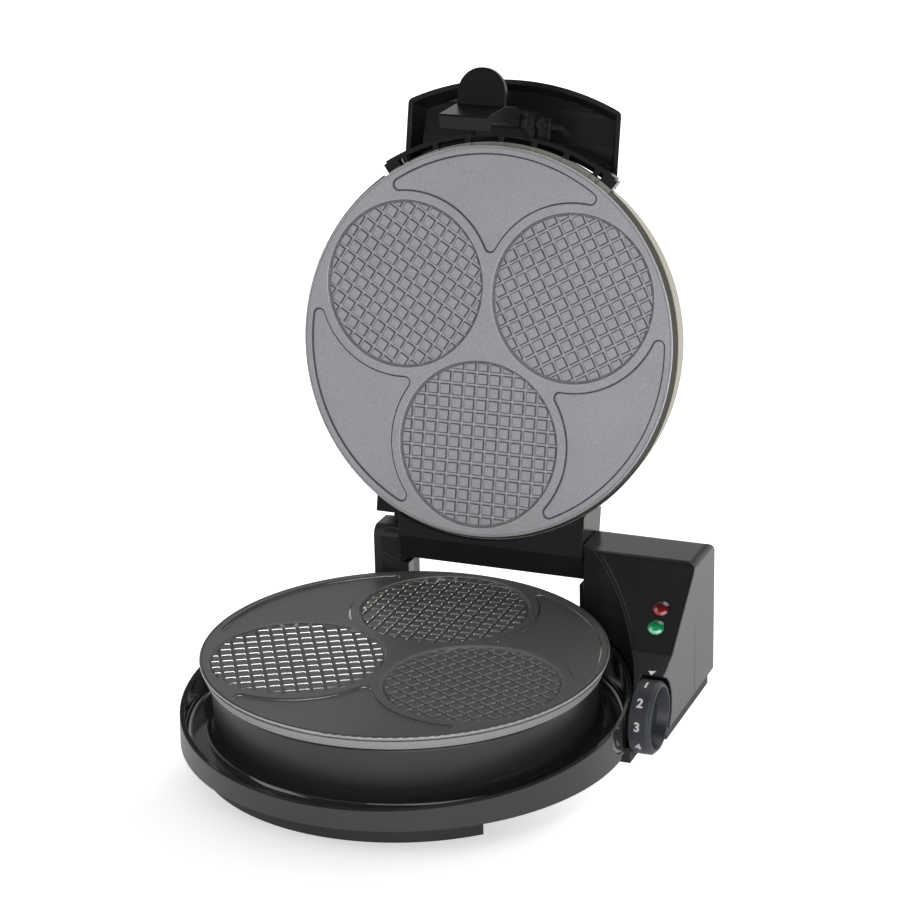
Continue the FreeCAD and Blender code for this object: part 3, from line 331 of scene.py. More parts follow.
dress(black_plastic("lid_plastic", roughness=0.2, grain_mm=0.5, edge_mm=0.7,
                    dark=0.012, light=0.016), "hinge_housing", "handle")
dress(black_plastic("panel_plastic", roughness=0.3, grain_mm=0.3, edge_mm=0.3,
                    dark=0.014, light=0.019, shine=0.35), "control_panel")
dress(black_plastic("bottom_plastic", roughness=0.5, grain_mm=0.6, edge_mm=0.5,
                    dark=0.017, light=0.023), "bottom_pan")
dress(black_plastic("latch_plastic", roughness=0.34, grain_mm=0.4, edge_mm=0.7,
                    dark=0.006, light=0.009, shine=0.25), "latch")
dress(black_plastic("soft_rubber", roughness=0.6, grain_mm=0.5, edge_mm=0.4,
                    dark=0.02, light=0.03), "cord_gland")

# %% [markdown]
# The control pod has a polished front and a textured side wall, which hides finger marks.
# The side wall could be a piece of its own, but on the real machine it is one moulding.
# So the finish finds it by its place: what is at the far right is textured, and painted paler,
# which is painted light on that side.

# %% Control pod
POD_SIDE = (139.2, 139.8)
POD_GRAIN_MM = 0.45
POD_FRONT_GRAIN = 0.3
POD_FRONT_ROUGH = 0.2
POD_SIDE_ROUGHER = 0.24
POD_UNEVEN = 0.08


def greys(dark, light):
    return (dark, dark, dark), (light, light, light)


POD_FRONT_TINTS = greys(0.013, 0.018)
# Painted light: the side wall is painted far paler than the front.
POD_SIDE_LIT_TINTS = greys(0.125, 0.15)


def pod_plastic():
    finish = Finish("pod_plastic", IOR=PLASTIC_IOR, Specular_IOR_Level=0.45)
    x, _, _ = finish.axes()
    side = x.step(*POD_SIDE)
    grain = finish.noise(POD_GRAIN_MM, GRAIN_DETAIL)
    wipes = finish.noise(WIPES_MM, CLOUD_DETAIL)
    rough = POD_FRONT_ROUGH + side * POD_SIDE_ROUGHER + wipes.swing(POD_UNEVEN)
    height = grain * (POD_FRONT_GRAIN + side * (1.0 - POD_FRONT_GRAIN))
    rounded = finish.soft_edges(radius_mm=0.9)
    normal = finish.bump(height, depth_mm=0.03, strength=0.5, normal=rounded)
    tint = side.blend(wipes.blend(*POD_FRONT_TINTS), wipes.blend(*POD_SIDE_LIT_TINTS))
    return finish.done(Base_Color=tint, Roughness=rough, Normal=normal)


dress(pod_plastic(), "control_housing")

# %% [markdown]
# The upper plate is the lower one turned over, on a lid that stands open.
# Its pattern could be worked out anew for the tilted plate, but that would be the same work twice.
# Here a Mapping node swings its places back to the shut lid, so that both plates use one recipe.

# %% Where the lid is when it is shut
HINGE = Vector((0.0, 121.86, 78.19))
LID_OPEN = math.radians(102.685)


def closed_lid_place(finish):
    """Where a point of the open lid is when the lid is shut."""
    hinge = HINGE * MM
    shift = hinge - Matrix.Rotation(LID_OPEN, 3, "X") @ hinge
    sockets = {"Vector": finish.place, "Location": shift, "Rotation": (LID_OPEN, 0.0, 0.0)}
    return finish.wire.node("ShaderNodeMapping", sockets=sockets)


print("lid open by", round(math.degrees(LID_OPEN), 1), "degrees")

# %% [markdown]
# Each plate has three round pockets with a field of small square pads, cut as a grid of channels.
# The solids have these shapes, but the coat also looks different in each of them.
# A zigzag of the place gives the distance to the nearest channel, so the shader needs no picture.

# %% Pockets and pads by their places
POCKET_R = 50.0
POCKET_OFFSET = 60.7
POCKET_TURNS = tuple(math.radians(angle) for angle in (90.0, 210.0, 330.0))
EDGE_STARTS = (POCKET_R - 1.2, POCKET_R - 0.8)
EDGE_ENDS = (POCKET_R, POCKET_R + 0.3)
WELL_ENDS = (POCKET_R - 0.1, POCKET_R)
PAD_FIELD_ENDS = (48.0, 48.3)
HALF_PITCH = 7.75 / 2
PAD_FOOT = (0.3, 0.6)


def pocket_places(x, y):
    """The place seen from the middle of each pocket: outwards on the plate, and across that."""
    places = []
    for turn in POCKET_TURNS:
        outwards = x * math.cos(turn) + y * math.sin(turn) - POCKET_OFFSET
        across = y * math.cos(turn) - x * math.sin(turn)
        places.append((outwards, across))
    return places


def pocket_edges(places):
    """1 on the steep wall round each pocket."""
    edges = 0.0
    for outwards, across in places:
        edges = edges + radius_of(outwards, across).between(EDGE_STARTS, EDGE_ENDS)
    return edges


def pad_feet(places):
    """1 beside the pads and round their field, 0 along the middle of the channels."""
    feet = 0.0
    for outwards, across in places:
        away = radius_of(outwards, across)
        field = 1.0 - away.step(*PAD_FIELD_ENDS)
        well = 1.0 - away.step(*WELL_ENDS)
        off_channel = HALF_PITCH - outwards.zigzag(HALF_PITCH)
        off_cross_channel = HALF_PITCH - across.zigzag(HALF_PITCH)
        beside = off_channel.smaller(off_cross_channel).step(*PAD_FOOT)
        feet = feet + field * beside + (well - field)
    return feet


print("pockets:", len(POCKET_TURNS), "pad pitch:", HALF_PITCH * 2, "mm")

# %% [markdown]
# The baking plates are cast aluminium with a grey speckled non-stick coat.
# The speckle is tiny flakes, so it is made of random cells half a millimetre across.
# On the lower plate, the pads' walls are painted bright, a painted reflection, dimmer in the right
# pocket. They are also glossier and more metallic.
# Its pocket walls, side band and lip are painted lighter, which is painted light, and its channel
# floors darker, which is painted shade.
# On the upper plate, the pads' walls, the foot of the pads and the floor round each pad field are
# painted dark, which is painted shade.
# Its pocket walls, channel floors and side band are painted lighter, which is painted light.
# Each zone is a mask, found by its depth below the plate's face or by its place.
# Painted masks could do the same, but these stay sharp and follow the solids' own sizes.

# %% Zones of the plates
PLATE_TOP = 60.0
PARTING = 60.4
WALL_STARTS, WALL_ENDS = (1.03, 1.1), (1.95, 2.1)
FLOOR_STARTS, FLOOR_ENDS = (2.0, 2.15), (2.5, 2.7)
SIDE_BAND = (2.7, 3.2)
LIP = (115.1, 115.3)
RIGHT_HALF = (0.0, 4.0)
BACK_POCKET = (14.0, 24.0)
RIGHT_POCKET_KEEPS = 0.6
# Each gain paints light or shade into its zone of the coat.
LOWER_PAINTED_LIGHT_GAINS = {"wall": 6.0, "floor": -0.15, "band": 3.5, "edge": 1.2}
UPPER_PAINTED_LIGHT_GAINS = {"wall": -0.68, "floor": 0.18, "band": 0.35, "edge": 0.8, "foot": -0.65}


def plate_zones(finish, upper):
    """The masks of one plate, by the names that its gains have."""
    if upper:
        x, y, z = finish.axes(closed_lid_place(finish))
        depth = z - (2 * PARTING - PLATE_TOP)
    else:
        x, y, z = finish.axes()
        depth = PLATE_TOP - z
    places = pocket_places(x, y)
    zones = {
        "wall": depth.between(WALL_STARTS, WALL_ENDS),
        "floor": depth.between(FLOOR_STARTS, FLOOR_ENDS),
        "band": (depth.step(*SIDE_BAND) + radius_of(x, y).step(*LIP)).limited(),
        "edge": pocket_edges(places),
    }
    if upper:
        # Upper plate: painted light on the pocket walls, and painted shade at the foot of the pads
        # and round their field.
        zones["edge"] = zones["edge"] * (1.0 - zones["floor"])
        zones["foot"] = zones["floor"] * pad_feet(places)
    else:
        # Lower plate: the painted reflection on the pad walls is dimmer in the right pocket.
        right_pocket = x.step(*RIGHT_HALF) * (1.0 - y.step(*BACK_POCKET))
        zones["wall"] = zones["wall"] * (1.0 - right_pocket * RIGHT_POCKET_KEEPS)
    return zones


print("zones:", ", ".join(UPPER_PAINTED_LIGHT_GAINS))

# %% [markdown]
# The coat's colour is a plain grey times a shade. Flakes and clouds add to that shade, and the
# zones add painted light and shade.
# A shade above 1 would be cut off by the Mix node, so it is scaled down first and the grey up.

# %% Non-stick coat of the plates
# One coat in two painted copies: darker on the lower plate and lighter on the upper one, for how
# light falls on each.
LOWER_COAT_SHADED = (0.108, 0.108, 0.105)
UPPER_COAT_LIT = (0.445, 0.445, 0.463)
NO_COAT = (0.0, 0.0, 0.0)
SHADE_ROOM = 0.12
FLAKE_MM = 0.55
LIGHT_FLAKES, DARK_FLAKES = (0.8, 0.98), (0.02, 0.2)
LIGHTER, DARKER = 0.22, 0.16
COAT_CLOUDS_MM = 30.0
COAT_UNEVEN = 0.12
COAT_ROUGH, FLAKE_GLOSS, WALL_GLOSS = 0.42, 0.1, 0.4
COAT_METAL, FLAKE_METAL = 0.3, 0.1
COAT_GRAIN_MM = 0.4


def plate_casting(name, coat, gains, wall_shine, upper):
    finish = Finish(name, IOR=PLASTIC_IOR, Specular_IOR_Level=0.5)
    zones = plate_zones(finish, upper)
    flakes = finish.cells(FLAKE_MM)
    light_flakes = flakes.step(*LIGHT_FLAKES)
    dark_flakes = 1.0 - flakes.step(*DARK_FLAKES)
    clouds = finish.noise(COAT_CLOUDS_MM, CLOUD_DETAIL)
    speckle = light_flakes * LIGHTER - dark_flakes * DARKER + clouds.swing(COAT_UNEVEN)
    shade = 1.0 + speckle
    # The zones' gains paint light and shade into the coat's colour.
    for zone, mask in zones.items():
        shade = shade + mask * gains[zone]
    colour = (shade * SHADE_ROOM).blend(NO_COAT, [c / SHADE_ROOM for c in coat])
    # The lower pad walls are also made glossier and more metallic.
    shiny_walls = zones["wall"] * wall_shine
    rough = COAT_ROUGH + clouds.swing(COAT_UNEVEN) - light_flakes * FLAKE_GLOSS - shiny_walls * WALL_GLOSS
    metal = COAT_METAL + light_flakes * FLAKE_METAL + shiny_walls
    grain = finish.noise(COAT_GRAIN_MM, FINE_DETAIL)
    rounded = finish.soft_edges(radius_mm=0.35) if upper else None
    normal = finish.bump(grain, depth_mm=0.02, strength=0.5, normal=rounded)
    return finish.done(Base_Color=colour, Roughness=rough, Metallic=metal, Normal=normal)


dress(plate_casting("lower_plate_coat", LOWER_COAT_SHADED, LOWER_PAINTED_LIGHT_GAINS, wall_shine=0.65, upper=False),
      "lower_plate")
dress(plate_casting("upper_plate_coat", UPPER_COAT_LIT, UPPER_PAINTED_LIGHT_GAINS, wall_shine=0.0, upper=True),
      "upper_plate")

# %% [markdown]
# The ring between the upper plate and the dome is black, with a greyer seat round the hot plate.
# Seen from the side, that seat is the dark band between the bright plate and the bright dome.
# The ring moves with the lid, so its seat is found from the shut lid's places too.

# %% Lid ring
BESIDE_SEAT = (117.2, 117.6)
RING_TINTS = ((0.009, 0.0094, 0.01), (0.013, 0.0135, 0.0146))
SEAT_TINTS = ((0.3, 0.295, 0.26), (0.38, 0.37, 0.33))
RING_ROUGH = 0.22
SEAT_ROUGHER = 0.15
RING_GRAIN_MM = 0.5


def ring_plastic():
    finish = Finish("ring_plastic", IOR=PLASTIC_IOR, Specular_IOR_Level=0.4)
    x, y, _ = finish.axes(closed_lid_place(finish))
    seat = 1.0 - radius_of(x, y).step(*BESIDE_SEAT)
    wipes = finish.noise(WIPES_MM, CLOUD_DETAIL)
    tint = seat.blend(wipes.blend(*RING_TINTS), wipes.blend(*SEAT_TINTS))
    rough = RING_ROUGH + seat * SEAT_ROUGHER + wipes.swing(PLASTIC_UNEVEN)
    grain = finish.noise(RING_GRAIN_MM, GRAIN_DETAIL)
    rounded = finish.soft_edges(radius_mm=0.7)
    normal = finish.bump(grain, depth_mm=0.015, strength=0.4, normal=rounded)
    return finish.done(Base_Color=tint, Roughness=rough, Normal=normal)


dress(ring_plastic(), "lid_ring")

# %% [markdown]
# The dome over the upper plate is polished stainless sheet, and the screws and pins are plated.
# Polishing leaves fine lines. They could be cut as grooves, but that would be far too many faces.
# So a noise, stretched along one direction, drives the roughness and a faint bump.
# The dome's edge tint keeps the sheet from turning white where it is seen almost edge on.

# %% Bright metals
LINES_MM = 0.6
METAL_CLOUDS_MM = 25.0
LINE_UNEVEN = 0.12
METAL_UNEVEN = 0.06
METAL_DULLEST = 0.86
NO_TINT = (1.0, 1.0, 1.0)
COVER_TINT = (0.4, 0.385, 0.33)
COVER_EDGE = (0.6, 0.58, 0.52)
ROUND_LINES = (1.0, 1.0, 1.0)
LONG_LINES = (0.05, 1.0, 1.0)


def sheet_metal(name, colour, roughness, stretch, depth_mm, edge=NO_TINT):
    finish = Finish(name, Metallic=1.0, Specular_Tint=(*edge, 1.0))
    lines = finish.noise(LINES_MM, GRAIN_DETAIL, stretch)
    clouds = finish.noise(METAL_CLOUDS_MM, GRAIN_DETAIL)
    tint = clouds.blend([c * METAL_DULLEST for c in colour], colour)
    rough = roughness + lines.swing(LINE_UNEVEN) + clouds.swing(METAL_UNEVEN)
    rounded = finish.soft_edges(radius_mm=0.3)
    normal = finish.bump(lines, depth_mm, strength=0.4, normal=rounded)
    return finish.done(Base_Color=tint, Roughness=rough, Normal=normal)


dress(sheet_metal("stainless_sheet", COVER_TINT, roughness=0.25, stretch=LONG_LINES,
                  depth_mm=0.01, edge=COVER_EDGE), "lid_cover")
dress(sheet_metal("reflector_sheet", colour=(0.8, 0.8, 0.79), roughness=0.28, stretch=LONG_LINES,
                  depth_mm=0.01), "lower_heat_reflector", "upper_heat_reflector")
dress(sheet_metal("element_steel", colour=(0.33, 0.29, 0.25), roughness=0.4, stretch=ROUND_LINES,
                  depth_mm=0.02), "lower_heating_element", "upper_heating_element")
plated_steel = sheet_metal("plated_steel", colour=(0.62, 0.62, 0.6), roughness=0.26,
                           stretch=ROUND_LINES, depth_mm=0.01)
dress(plated_steel, "lower_plate_screws", "upper_plate_screws", "lower_plate_standoffs",
      "upper_plate_standoffs", "hinge_pin_left", "hinge_pin_right", "dial_shaft")
dark_steel = sheet_metal("dark_steel", colour=(0.06, 0.06, 0.065), roughness=0.34,
                         stretch=ROUND_LINES, depth_mm=0.01)
dress(dark_steel, "latch_pin")

# %% [markdown]
# The small inner pieces are pale heat-proof plastic, green board and clear lamps.
# They are hidden, but a library part may be opened, so they get finishes too.
# One cloudy tint is enough for pieces that are seen so seldom.

# %% Inner pieces
INNER_GRAIN_MM = 0.4
INNER_UNEVEN = 0.1


def tinted(name, dark, light, roughness, cloud_mm, **constants):
    finish = Finish(name, **constants)
    clouds = finish.noise(cloud_mm, CLOUD_DETAIL)
    rough = roughness + clouds.swing(INNER_UNEVEN)
    grain = finish.noise(INNER_GRAIN_MM, FINE_DETAIL)
    rounded = finish.soft_edges(radius_mm=0.3)
    normal = finish.bump(grain, depth_mm=0.01, strength=0.4, normal=rounded)
    return finish.done(Base_Color=clouds.blend(dark, light), Roughness=rough, Normal=normal)


dress(tinted("pale_plastic", dark=(0.62, 0.58, 0.48), light=(0.75, 0.71, 0.6), roughness=0.5,
             cloud_mm=8.0),
      "terminal_block", "dial_potentiometer", "plate_thermostat", "thermal_cutout")
dress(tinted("board_laminate", dark=(0.02, 0.12, 0.05), light=(0.04, 0.2, 0.08), roughness=0.4,
             cloud_mm=5.0), "control_board")
dress(tinted("lamp_glass", dark=(0.7, 0.66, 0.55), light=(0.85, 0.8, 0.7), roughness=0.1,
             cloud_mm=3.0, Coat_Weight=1.0), "indicator_lamps")

# %% [markdown]
# A coloured lens looks dark where the light goes in and glows where it comes out again.
# Real refraction could show that, but it is slow and noisy on so small a dome.
# So each dome is deep red or green at its upper side, with a pale crescent round its lower edge.
# The crescent is measured down the pod's slope from the middle of the lens.

# %% Indicator lenses
LENS_X = 126.4
LENS_RED_Y = 78.4
LENS_GREEN_Y = 69.0
LENS_R = 4.8
SLOPE_LOW_Y = 56.5
SLOPE_LOW_Z = 51.6
SLOPE_RISE = 0.8258
GLOWING = (LENS_R * -0.6, LENS_R * 0.7)
CRESCENT_STARTS, CRESCENT_ENDS = (LENS_R * 0.58, LENS_R * 0.74), (LENS_R * 0.86, LENS_R * 0.97)
LOWER_EDGE = (LENS_R * 0.25, LENS_R * 0.6)
CRESCENT_LEVEL = 0.85
LENS_ROUGH = 0.1
LENS_CLOUDS_MM = 2.5
LENS_UNEVEN = 0.08


def lens_finish(name, middle_y, deep, clear, crescent):
    finish = Finish(name, IOR=1.49, Coat_Weight=1.0, Coat_Roughness=0.14)
    x, y, z = finish.axes()
    middle_z = SLOPE_LOW_Z + (middle_y - SLOPE_LOW_Y) * SLOPE_RISE
    steep = math.atan(SLOPE_RISE)
    across = x - LENS_X
    down = (middle_y - y) * math.cos(steep) + (middle_z - z) * math.sin(steep)
    edge = radius_of(across, down).between(CRESCENT_STARTS, CRESCENT_ENDS)
    lit = edge * down.step(*LOWER_EDGE)
    dome = down.step(*GLOWING).blend(deep, clear)
    colour = (lit * CRESCENT_LEVEL).blend(dome, crescent)
    clouds = finish.noise(LENS_CLOUDS_MM, GRAIN_DETAIL)
    return finish.done(Base_Color=colour, Roughness=LENS_ROUGH + clouds.swing(LENS_UNEVEN))


dress(lens_finish("red_lens_plastic", LENS_RED_Y, deep=(0.02, 0.001, 0.002),
                  clear=(0.2, 0.004, 0.008), crescent=(0.5, 0.07, 0.07)), "red_lens")
dress(lens_finish("green_lens_plastic", LENS_GREEN_Y, deep=(0.0, 0.1, 0.03),
                  clear=(0.005, 0.38, 0.13), crescent=(0.5, 0.85, 0.62)), "green_lens")

# %% [markdown]
# The thumb wheel is moulded in a bluish charcoal, with a shallow cup in its outer face.
# The cup is smoother than the rim, a little bluer, and painted darker, which is painted shade in
# the recess.
# It is part of the same solid, so the finish asks how far from the axle a point is, and how deep.

# %% Thumb wheel
DIAL_Y = 33.5
DIAL_Z = 23.2
DIAL_R = 21.0
CUP_WALL = (17.5, 17.9)
CUP_FLOOR = (139.5, 139.9)
DIAL_RIM_TINTS = ((0.034, 0.037, 0.042), (0.044, 0.048, 0.054))
# Painted shade: the cup is painted darker than the rim.
DIAL_CUP_SHADED_TINTS = ((0.02, 0.023, 0.034), (0.03, 0.034, 0.047))
DIAL_ROUGH = 0.45
CUP_SMOOTHER = 0.08
DIAL_WIPES_MM = 12.0
DIAL_GRAIN_MM = 0.4


def dial_plastic():
    finish = Finish("dial_plastic", IOR=PLASTIC_IOR, Specular_IOR_Level=0.4)
    x, y, z = finish.axes()
    away = radius_of(y - DIAL_Y, z - DIAL_Z)
    cup = (1.0 - away.step(*CUP_WALL)) * (1.0 - x.step(*CUP_FLOOR))
    wipes = finish.noise(DIAL_WIPES_MM, GRAIN_DETAIL)
    tint = cup.blend(wipes.blend(*DIAL_RIM_TINTS), wipes.blend(*DIAL_CUP_SHADED_TINTS))
    rough = DIAL_ROUGH - cup * CUP_SMOOTHER + wipes.swing(PLASTIC_UNEVEN)
    grain = finish.noise(DIAL_GRAIN_MM, GRAIN_DETAIL)
    rounded = finish.soft_edges(radius_mm=0.4)
    normal = finish.bump(grain, depth_mm=0.015, strength=0.4, normal=rounded)
    return finish.done(Base_Color=tint, Roughness=rough, Normal=normal)


dress(dial_plastic(), "bake_dial")

# %% [markdown]
# The dial's numbers are printed in thick white ink.
# They could be painted by a texture, but that needs a picture, and a mesh stays sharp.
# So the ink is a thin piece of its own: flat text, given a tenth of a millimetre of relief.
# Every new piece is told which body it rides on, so that it moves with the real thing.

# %% White ink and flat text
INK_RELIEF = 0.1
INK_SPREAD = 0.03
INK_TINTS = greys(0.62, 0.8)
INK_SPECKS_MM = 0.25
INK_ROUGH = 0.45
INK_UNEVEN = 0.2
CURVE_STEPS = 6


def printing_ink():
    finish = Finish("white_ink")
    specks = finish.noise(INK_SPECKS_MM, GRAIN_DETAIL)
    rough = INK_ROUGH + specks.swing(INK_UNEVEN)
    return finish.done(Base_Color=specks.blend(*INK_TINTS), Roughness=rough)


def plain_mesh(carrier):
    """What an object looks like once its curve or modifiers are worked out. The object goes."""
    graph = bpy.context.evaluated_depsgraph_get()
    mesh = bpy.data.meshes.new_from_object(carrier.evaluated_get(graph))
    bpy.data.objects.remove(carrier)
    return mesh


def flat_text(words, size):
    """A mesh of the words, centred on the origin, in millimetres."""
    curve = bpy.data.curves.new("words", "FONT")
    curve.body = words
    curve.size = size
    curve.align_x = "CENTER"
    curve.align_y = "CENTER"
    curve.offset = size * INK_SPREAD
    curve.extrude = INK_RELIEF
    curve.resolution_u = CURVE_STEPS
    mesh = plain_mesh(new_object("words", curve))
    bpy.data.curves.remove(curve)
    return mesh


def add_piece(name, mesh, material, body):
    mesh.name = name
    mesh.materials.clear()
    mesh.materials.append(material)
    piece = new_object(name, mesh)
    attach(piece, body)
    return piece


white_ink = printing_ink()
print("ink:", INK_RELIEF, "mm thick")

# %% [markdown]
# The thumb wheel carries its numbers on the rim, so that they can be read from the front.
# Each flat number is wrapped round the wheel: one direction stays along the axle and the other
# becomes an angle. A Curve modifier could bend it, but the sum is short and exact.
# Flat faces would cut into the round rim, so the number is first sliced finely.

# %% Numbers on the dial
NUMBER_X = 133.0
NUMBER_SIZE = 7.4
NUMBER_FIRST = 81.0
NUMBER_STEP = 37.2
NUMBER_COUNT = 6
SLICE = 0.5
WELD = 1e-5


def wrapped_number(number, ink):
    mesh = flat_text(str(number), NUMBER_SIZE)
    middle = math.radians(NUMBER_FIRST - NUMBER_STEP * (number - 1))
    work = bmesh.new()
    work.from_mesh(mesh)
    bmesh.ops.remove_doubles(work, verts=work.verts, dist=WELD)
    slices = int(NUMBER_SIZE / SLICE)
    for k in range(-slices, slices + 1):
        geometry = work.verts[:] + work.edges[:] + work.faces[:]
        bmesh.ops.bisect_plane(work, geom=geometry, plane_co=(0, k * SLICE, 0), plane_no=(0, 1, 0))
    for vert in work.verts:
        across, upward, lift = vert.co
        angle = middle + upward / DIAL_R
        reach = DIAL_R + lift
        vert.co = Vector((
            NUMBER_X + across,
            DIAL_Y - reach * math.cos(angle),
            DIAL_Z + reach * math.sin(angle),
        )) * MM
    work.to_mesh(mesh)
    work.free()
    add_piece(f"dial_number_{number}", mesh, ink, "dial")


for number in range(1, NUMBER_COUNT + 1):
    wrapped_number(number, white_ink)
print("numbers on the dial:", NUMBER_COUNT)

# %% [markdown]
# A small white triangle on the pod's nose points at the number in use.
# It is printed like the numbers, so it has the same ink and the same relief.
# Its three corners are given on the nose's slope, which starts where the slope of the lenses ends.

# %% Pointer
NOSE_SLOPE = 0.39
POINTER_CORNERS = ((129.9, 43.4), (134.4, 43.9), (132.5, 40.6))


def on_nose(x, y, lift):
    slope = math.atan(NOSE_SLOPE)
    z = SLOPE_LOW_Z - NOSE_SLOPE * (SLOPE_LOW_Y - y)
    return Vector((x, y - lift * math.sin(slope), z + lift * math.cos(slope))) * MM


def pointer(ink):
    work = bmesh.new()
    low = [work.verts.new(on_nose(x, y, -INK_RELIEF)) for x, y in POINTER_CORNERS]
    high = [work.verts.new(on_nose(x, y, INK_RELIEF)) for x, y in POINTER_CORNERS]
    work.faces.new(low)
    work.faces.new(high)
    for i in range(len(low)):
        j = (i + 1) % len(low)
        work.faces.new((low[i], low[j], high[j], high[i]))
    bmesh.ops.recalc_face_normals(work, faces=work.faces)
    mesh = bpy.data.meshes.new("pointer")
    work.to_mesh(mesh)
    work.free()
    return add_piece("dial_pointer", mesh, ink, "base")


print("pointer:", len(pointer(white_ink).data.polygons), "faces")

# %% [markdown]
# Screws repeat, so one recipe in Geometry Nodes makes them all: a head, a shank and a cross recess.
# On the real machine they are bought parts, rolled from wire, with a driver's cross in the head.
# They could be copied as meshes, but a recipe keeps its sizes as inputs that can still be changed.
# The inputs have names, so the same tree serves the bottom and the handle.

# %% Recipe for a cross-head screw
SCREW_SIDES = 40
SCREW_SIZES = {
    "Head Radius": 3.2,
    "Head Height": 2.4,
    "Shank Radius": 1.5,
    "Shank Length": 14.0,
    "Cross Length": 3.8,
    "Cross Width": 0.9,
}


def add_input(tree, name, kind):
    tree.interface.new_socket(name, in_out="INPUT", socket_type=kind)


def screw_tree():
    tree = bpy.data.node_groups.new("cross_head_screws", "GeometryNodeTree")
    tree.interface.new_socket("Geometry", in_out="OUTPUT", socket_type="NodeSocketGeometry")
    add_input(tree, "Geometry", "NodeSocketGeometry")
    for name in SCREW_SIZES:
        add_input(tree, name, "NodeSocketFloat")
    add_input(tree, "Turn", "NodeSocketFloat")
    add_input(tree, "Material", "NodeSocketMaterial")
    wire = Wire(tree, None)
    take = wire.node("NodeGroupInput").outputs()

    def lifted(mesh, height):
        offset = wire.node("ShaderNodeCombineXYZ", sockets={"Z": height})
        return wire.node("GeometryNodeTransform", sockets={"Geometry": mesh, "Translation": offset})

    def rod(radius, length):
        sockets = {"Vertices": SCREW_SIDES, "Radius": radius, "Depth": length}
        return wire.node("GeometryNodeMeshCylinder", sockets=sockets)

    def bar(size_x, size_y, size_z):
        size = wire.node("ShaderNodeCombineXYZ", sockets={"X": size_x, "Y": size_y, "Z": size_z})
        return wire.node("GeometryNodeMeshCube", sockets={"Size": size})

    def joined(first, second):
        both = wire.node("GeometryNodeMeshBoolean", {"operation": "UNION"}, {"Mesh 2": first})
        tree.links.new(second.socket, both.socket.node.inputs["Mesh 2"])
        return both

    height = take["Head Height"]
    length = take["Cross Length"]
    width = take["Cross Width"]
    head = lifted(rod(take["Head Radius"], height), height * -0.5)
    cross = joined(bar(length, width, height), bar(width, length, height))
    cut = wire.node("GeometryNodeMeshBoolean", {"operation": "DIFFERENCE"},
                    {"Mesh 1": head, "Mesh 2": lifted(cross, height * -1.0)})
    shank = lifted(rod(take["Shank Radius"], take["Shank Length"]), take["Shank Length"] * 0.5)
    turn = wire.node("ShaderNodeCombineXYZ", sockets={"X": take["Turn"]})
    placed = wire.node("GeometryNodeInstanceOnPoints", sockets={
        "Points": take["Geometry"], "Instance": joined(cut, shank), "Rotation": turn})
    solid = wire.node("GeometryNodeRealizeInstances", sockets={"Geometry": placed})
    painted = wire.node("GeometryNodeSetMaterial",
                        sockets={"Geometry": solid, "Material": take["Material"]})
    result = tree.nodes.new("NodeGroupOutput")
    tree.links.new(painted.socket, result.inputs["Geometry"])
    return tree


def input_identifiers(tree):
    return {item.name: item.identifier for item in tree.interface.items_tree
            if item.in_out == "INPUT"}


screws = screw_tree()
print("screw recipe:", len(screws.nodes), "nodes")

# %% [markdown]
# Each group of screws starts as a few loose points, one at every screw seat.
# The recipe turns the points into screws, and the result is kept as a plain mesh.
# That mesh stands for the plain screws of the solid model, in the same places.

# %% Screws under the base and in the handle
BOSS_AT_R = 103.0
BOSS_TURNS = tuple(math.radians(angle) for angle in (45.0, 135.0, 225.0, 315.0))
POD_BOSSES = ((114.5, 79.0), (102.0, 129.0))
PAN_LOW = 10.0
TRAY_FLOOR = 2.4
TAB_X = 22.0
TAB_Y = -129.0
TAB_LOW = 77.6


def opened(x, y, z):
    """Where a point of the shut lid is when the lid is open, in millimetres."""
    return Matrix.Rotation(-LID_OPEN, 3, "X") @ (Vector((x, y, z)) - HINGE) + HINGE


def set_screws(name, seats, turn, material, body, node):
    points = bpy.data.meshes.new(name + "_seats")
    points.from_pydata([Vector(seat) * MM for seat in seats], [], [])
    carrier = new_object(name + "_seats", points)
    recipe = carrier.modifiers.new("screws", "NODES")
    recipe.node_group = screws
    sockets = input_identifiers(screws)
    for key, size in SCREW_SIZES.items():
        recipe[sockets[key]] = size * MM
    recipe[sockets["Turn"]] = turn
    recipe[sockets["Material"]] = material
    mesh = plain_mesh(carrier)
    piece = add_piece(name, mesh, material, body)
    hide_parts(node)
    print(name, len(seats), "screws,", len(mesh.polygons), "faces")


rim_seats = [(BOSS_AT_R * math.cos(a), BOSS_AT_R * math.sin(a), PAN_LOW) for a in BOSS_TURNS]
pod_seats = [(x, y, PAN_LOW - TRAY_FLOOR) for x, y in POD_BOSSES]
set_screws("base_screws", rim_seats + pod_seats, 0.0, plated_steel, "base", "bottom_screws")
handle_seats = [opened(x, TAB_Y, TAB_LOW) for x in (-TAB_X, TAB_X)]
set_screws("grip_screws", handle_seats, -LID_OPEN, dark_steel, "lid", "handle_screws")

# %% [markdown]
# The photograph has a plain white ground with one soft shadow.
# More light would whiten the floor, but it would bleach the object too.
# So the floor is pale and, for the camera, it glows a little.
# It glows more far away, behind the object and at its left, where the photograph is whitest.
# Black plastic shows what it mirrors: the white table near by, and a dark room in front of it.

# %% Floor
FLOOR_HALF = 8.0
FLOOR_COLOUR = (0.78, 0.79, 0.82)
FLOOR_ROUGH = 0.9
ROOM_COLOUR = (0.03, 0.03, 0.032)
TABLE_ENDS = (700.0, 1200.0)
ROOM_ENDS = (-200.0, 300.0)
FAR_AWAY = (250.0, 900.0)
AT_LEFT = (90.0, 230.0)
AT_BACK = (-150.0, 60.0)
GLOW_NEAR = 0.45
GLOW_FAR = 0.95
UNLIT_TO_LIT = greys(0.0, 1.0)


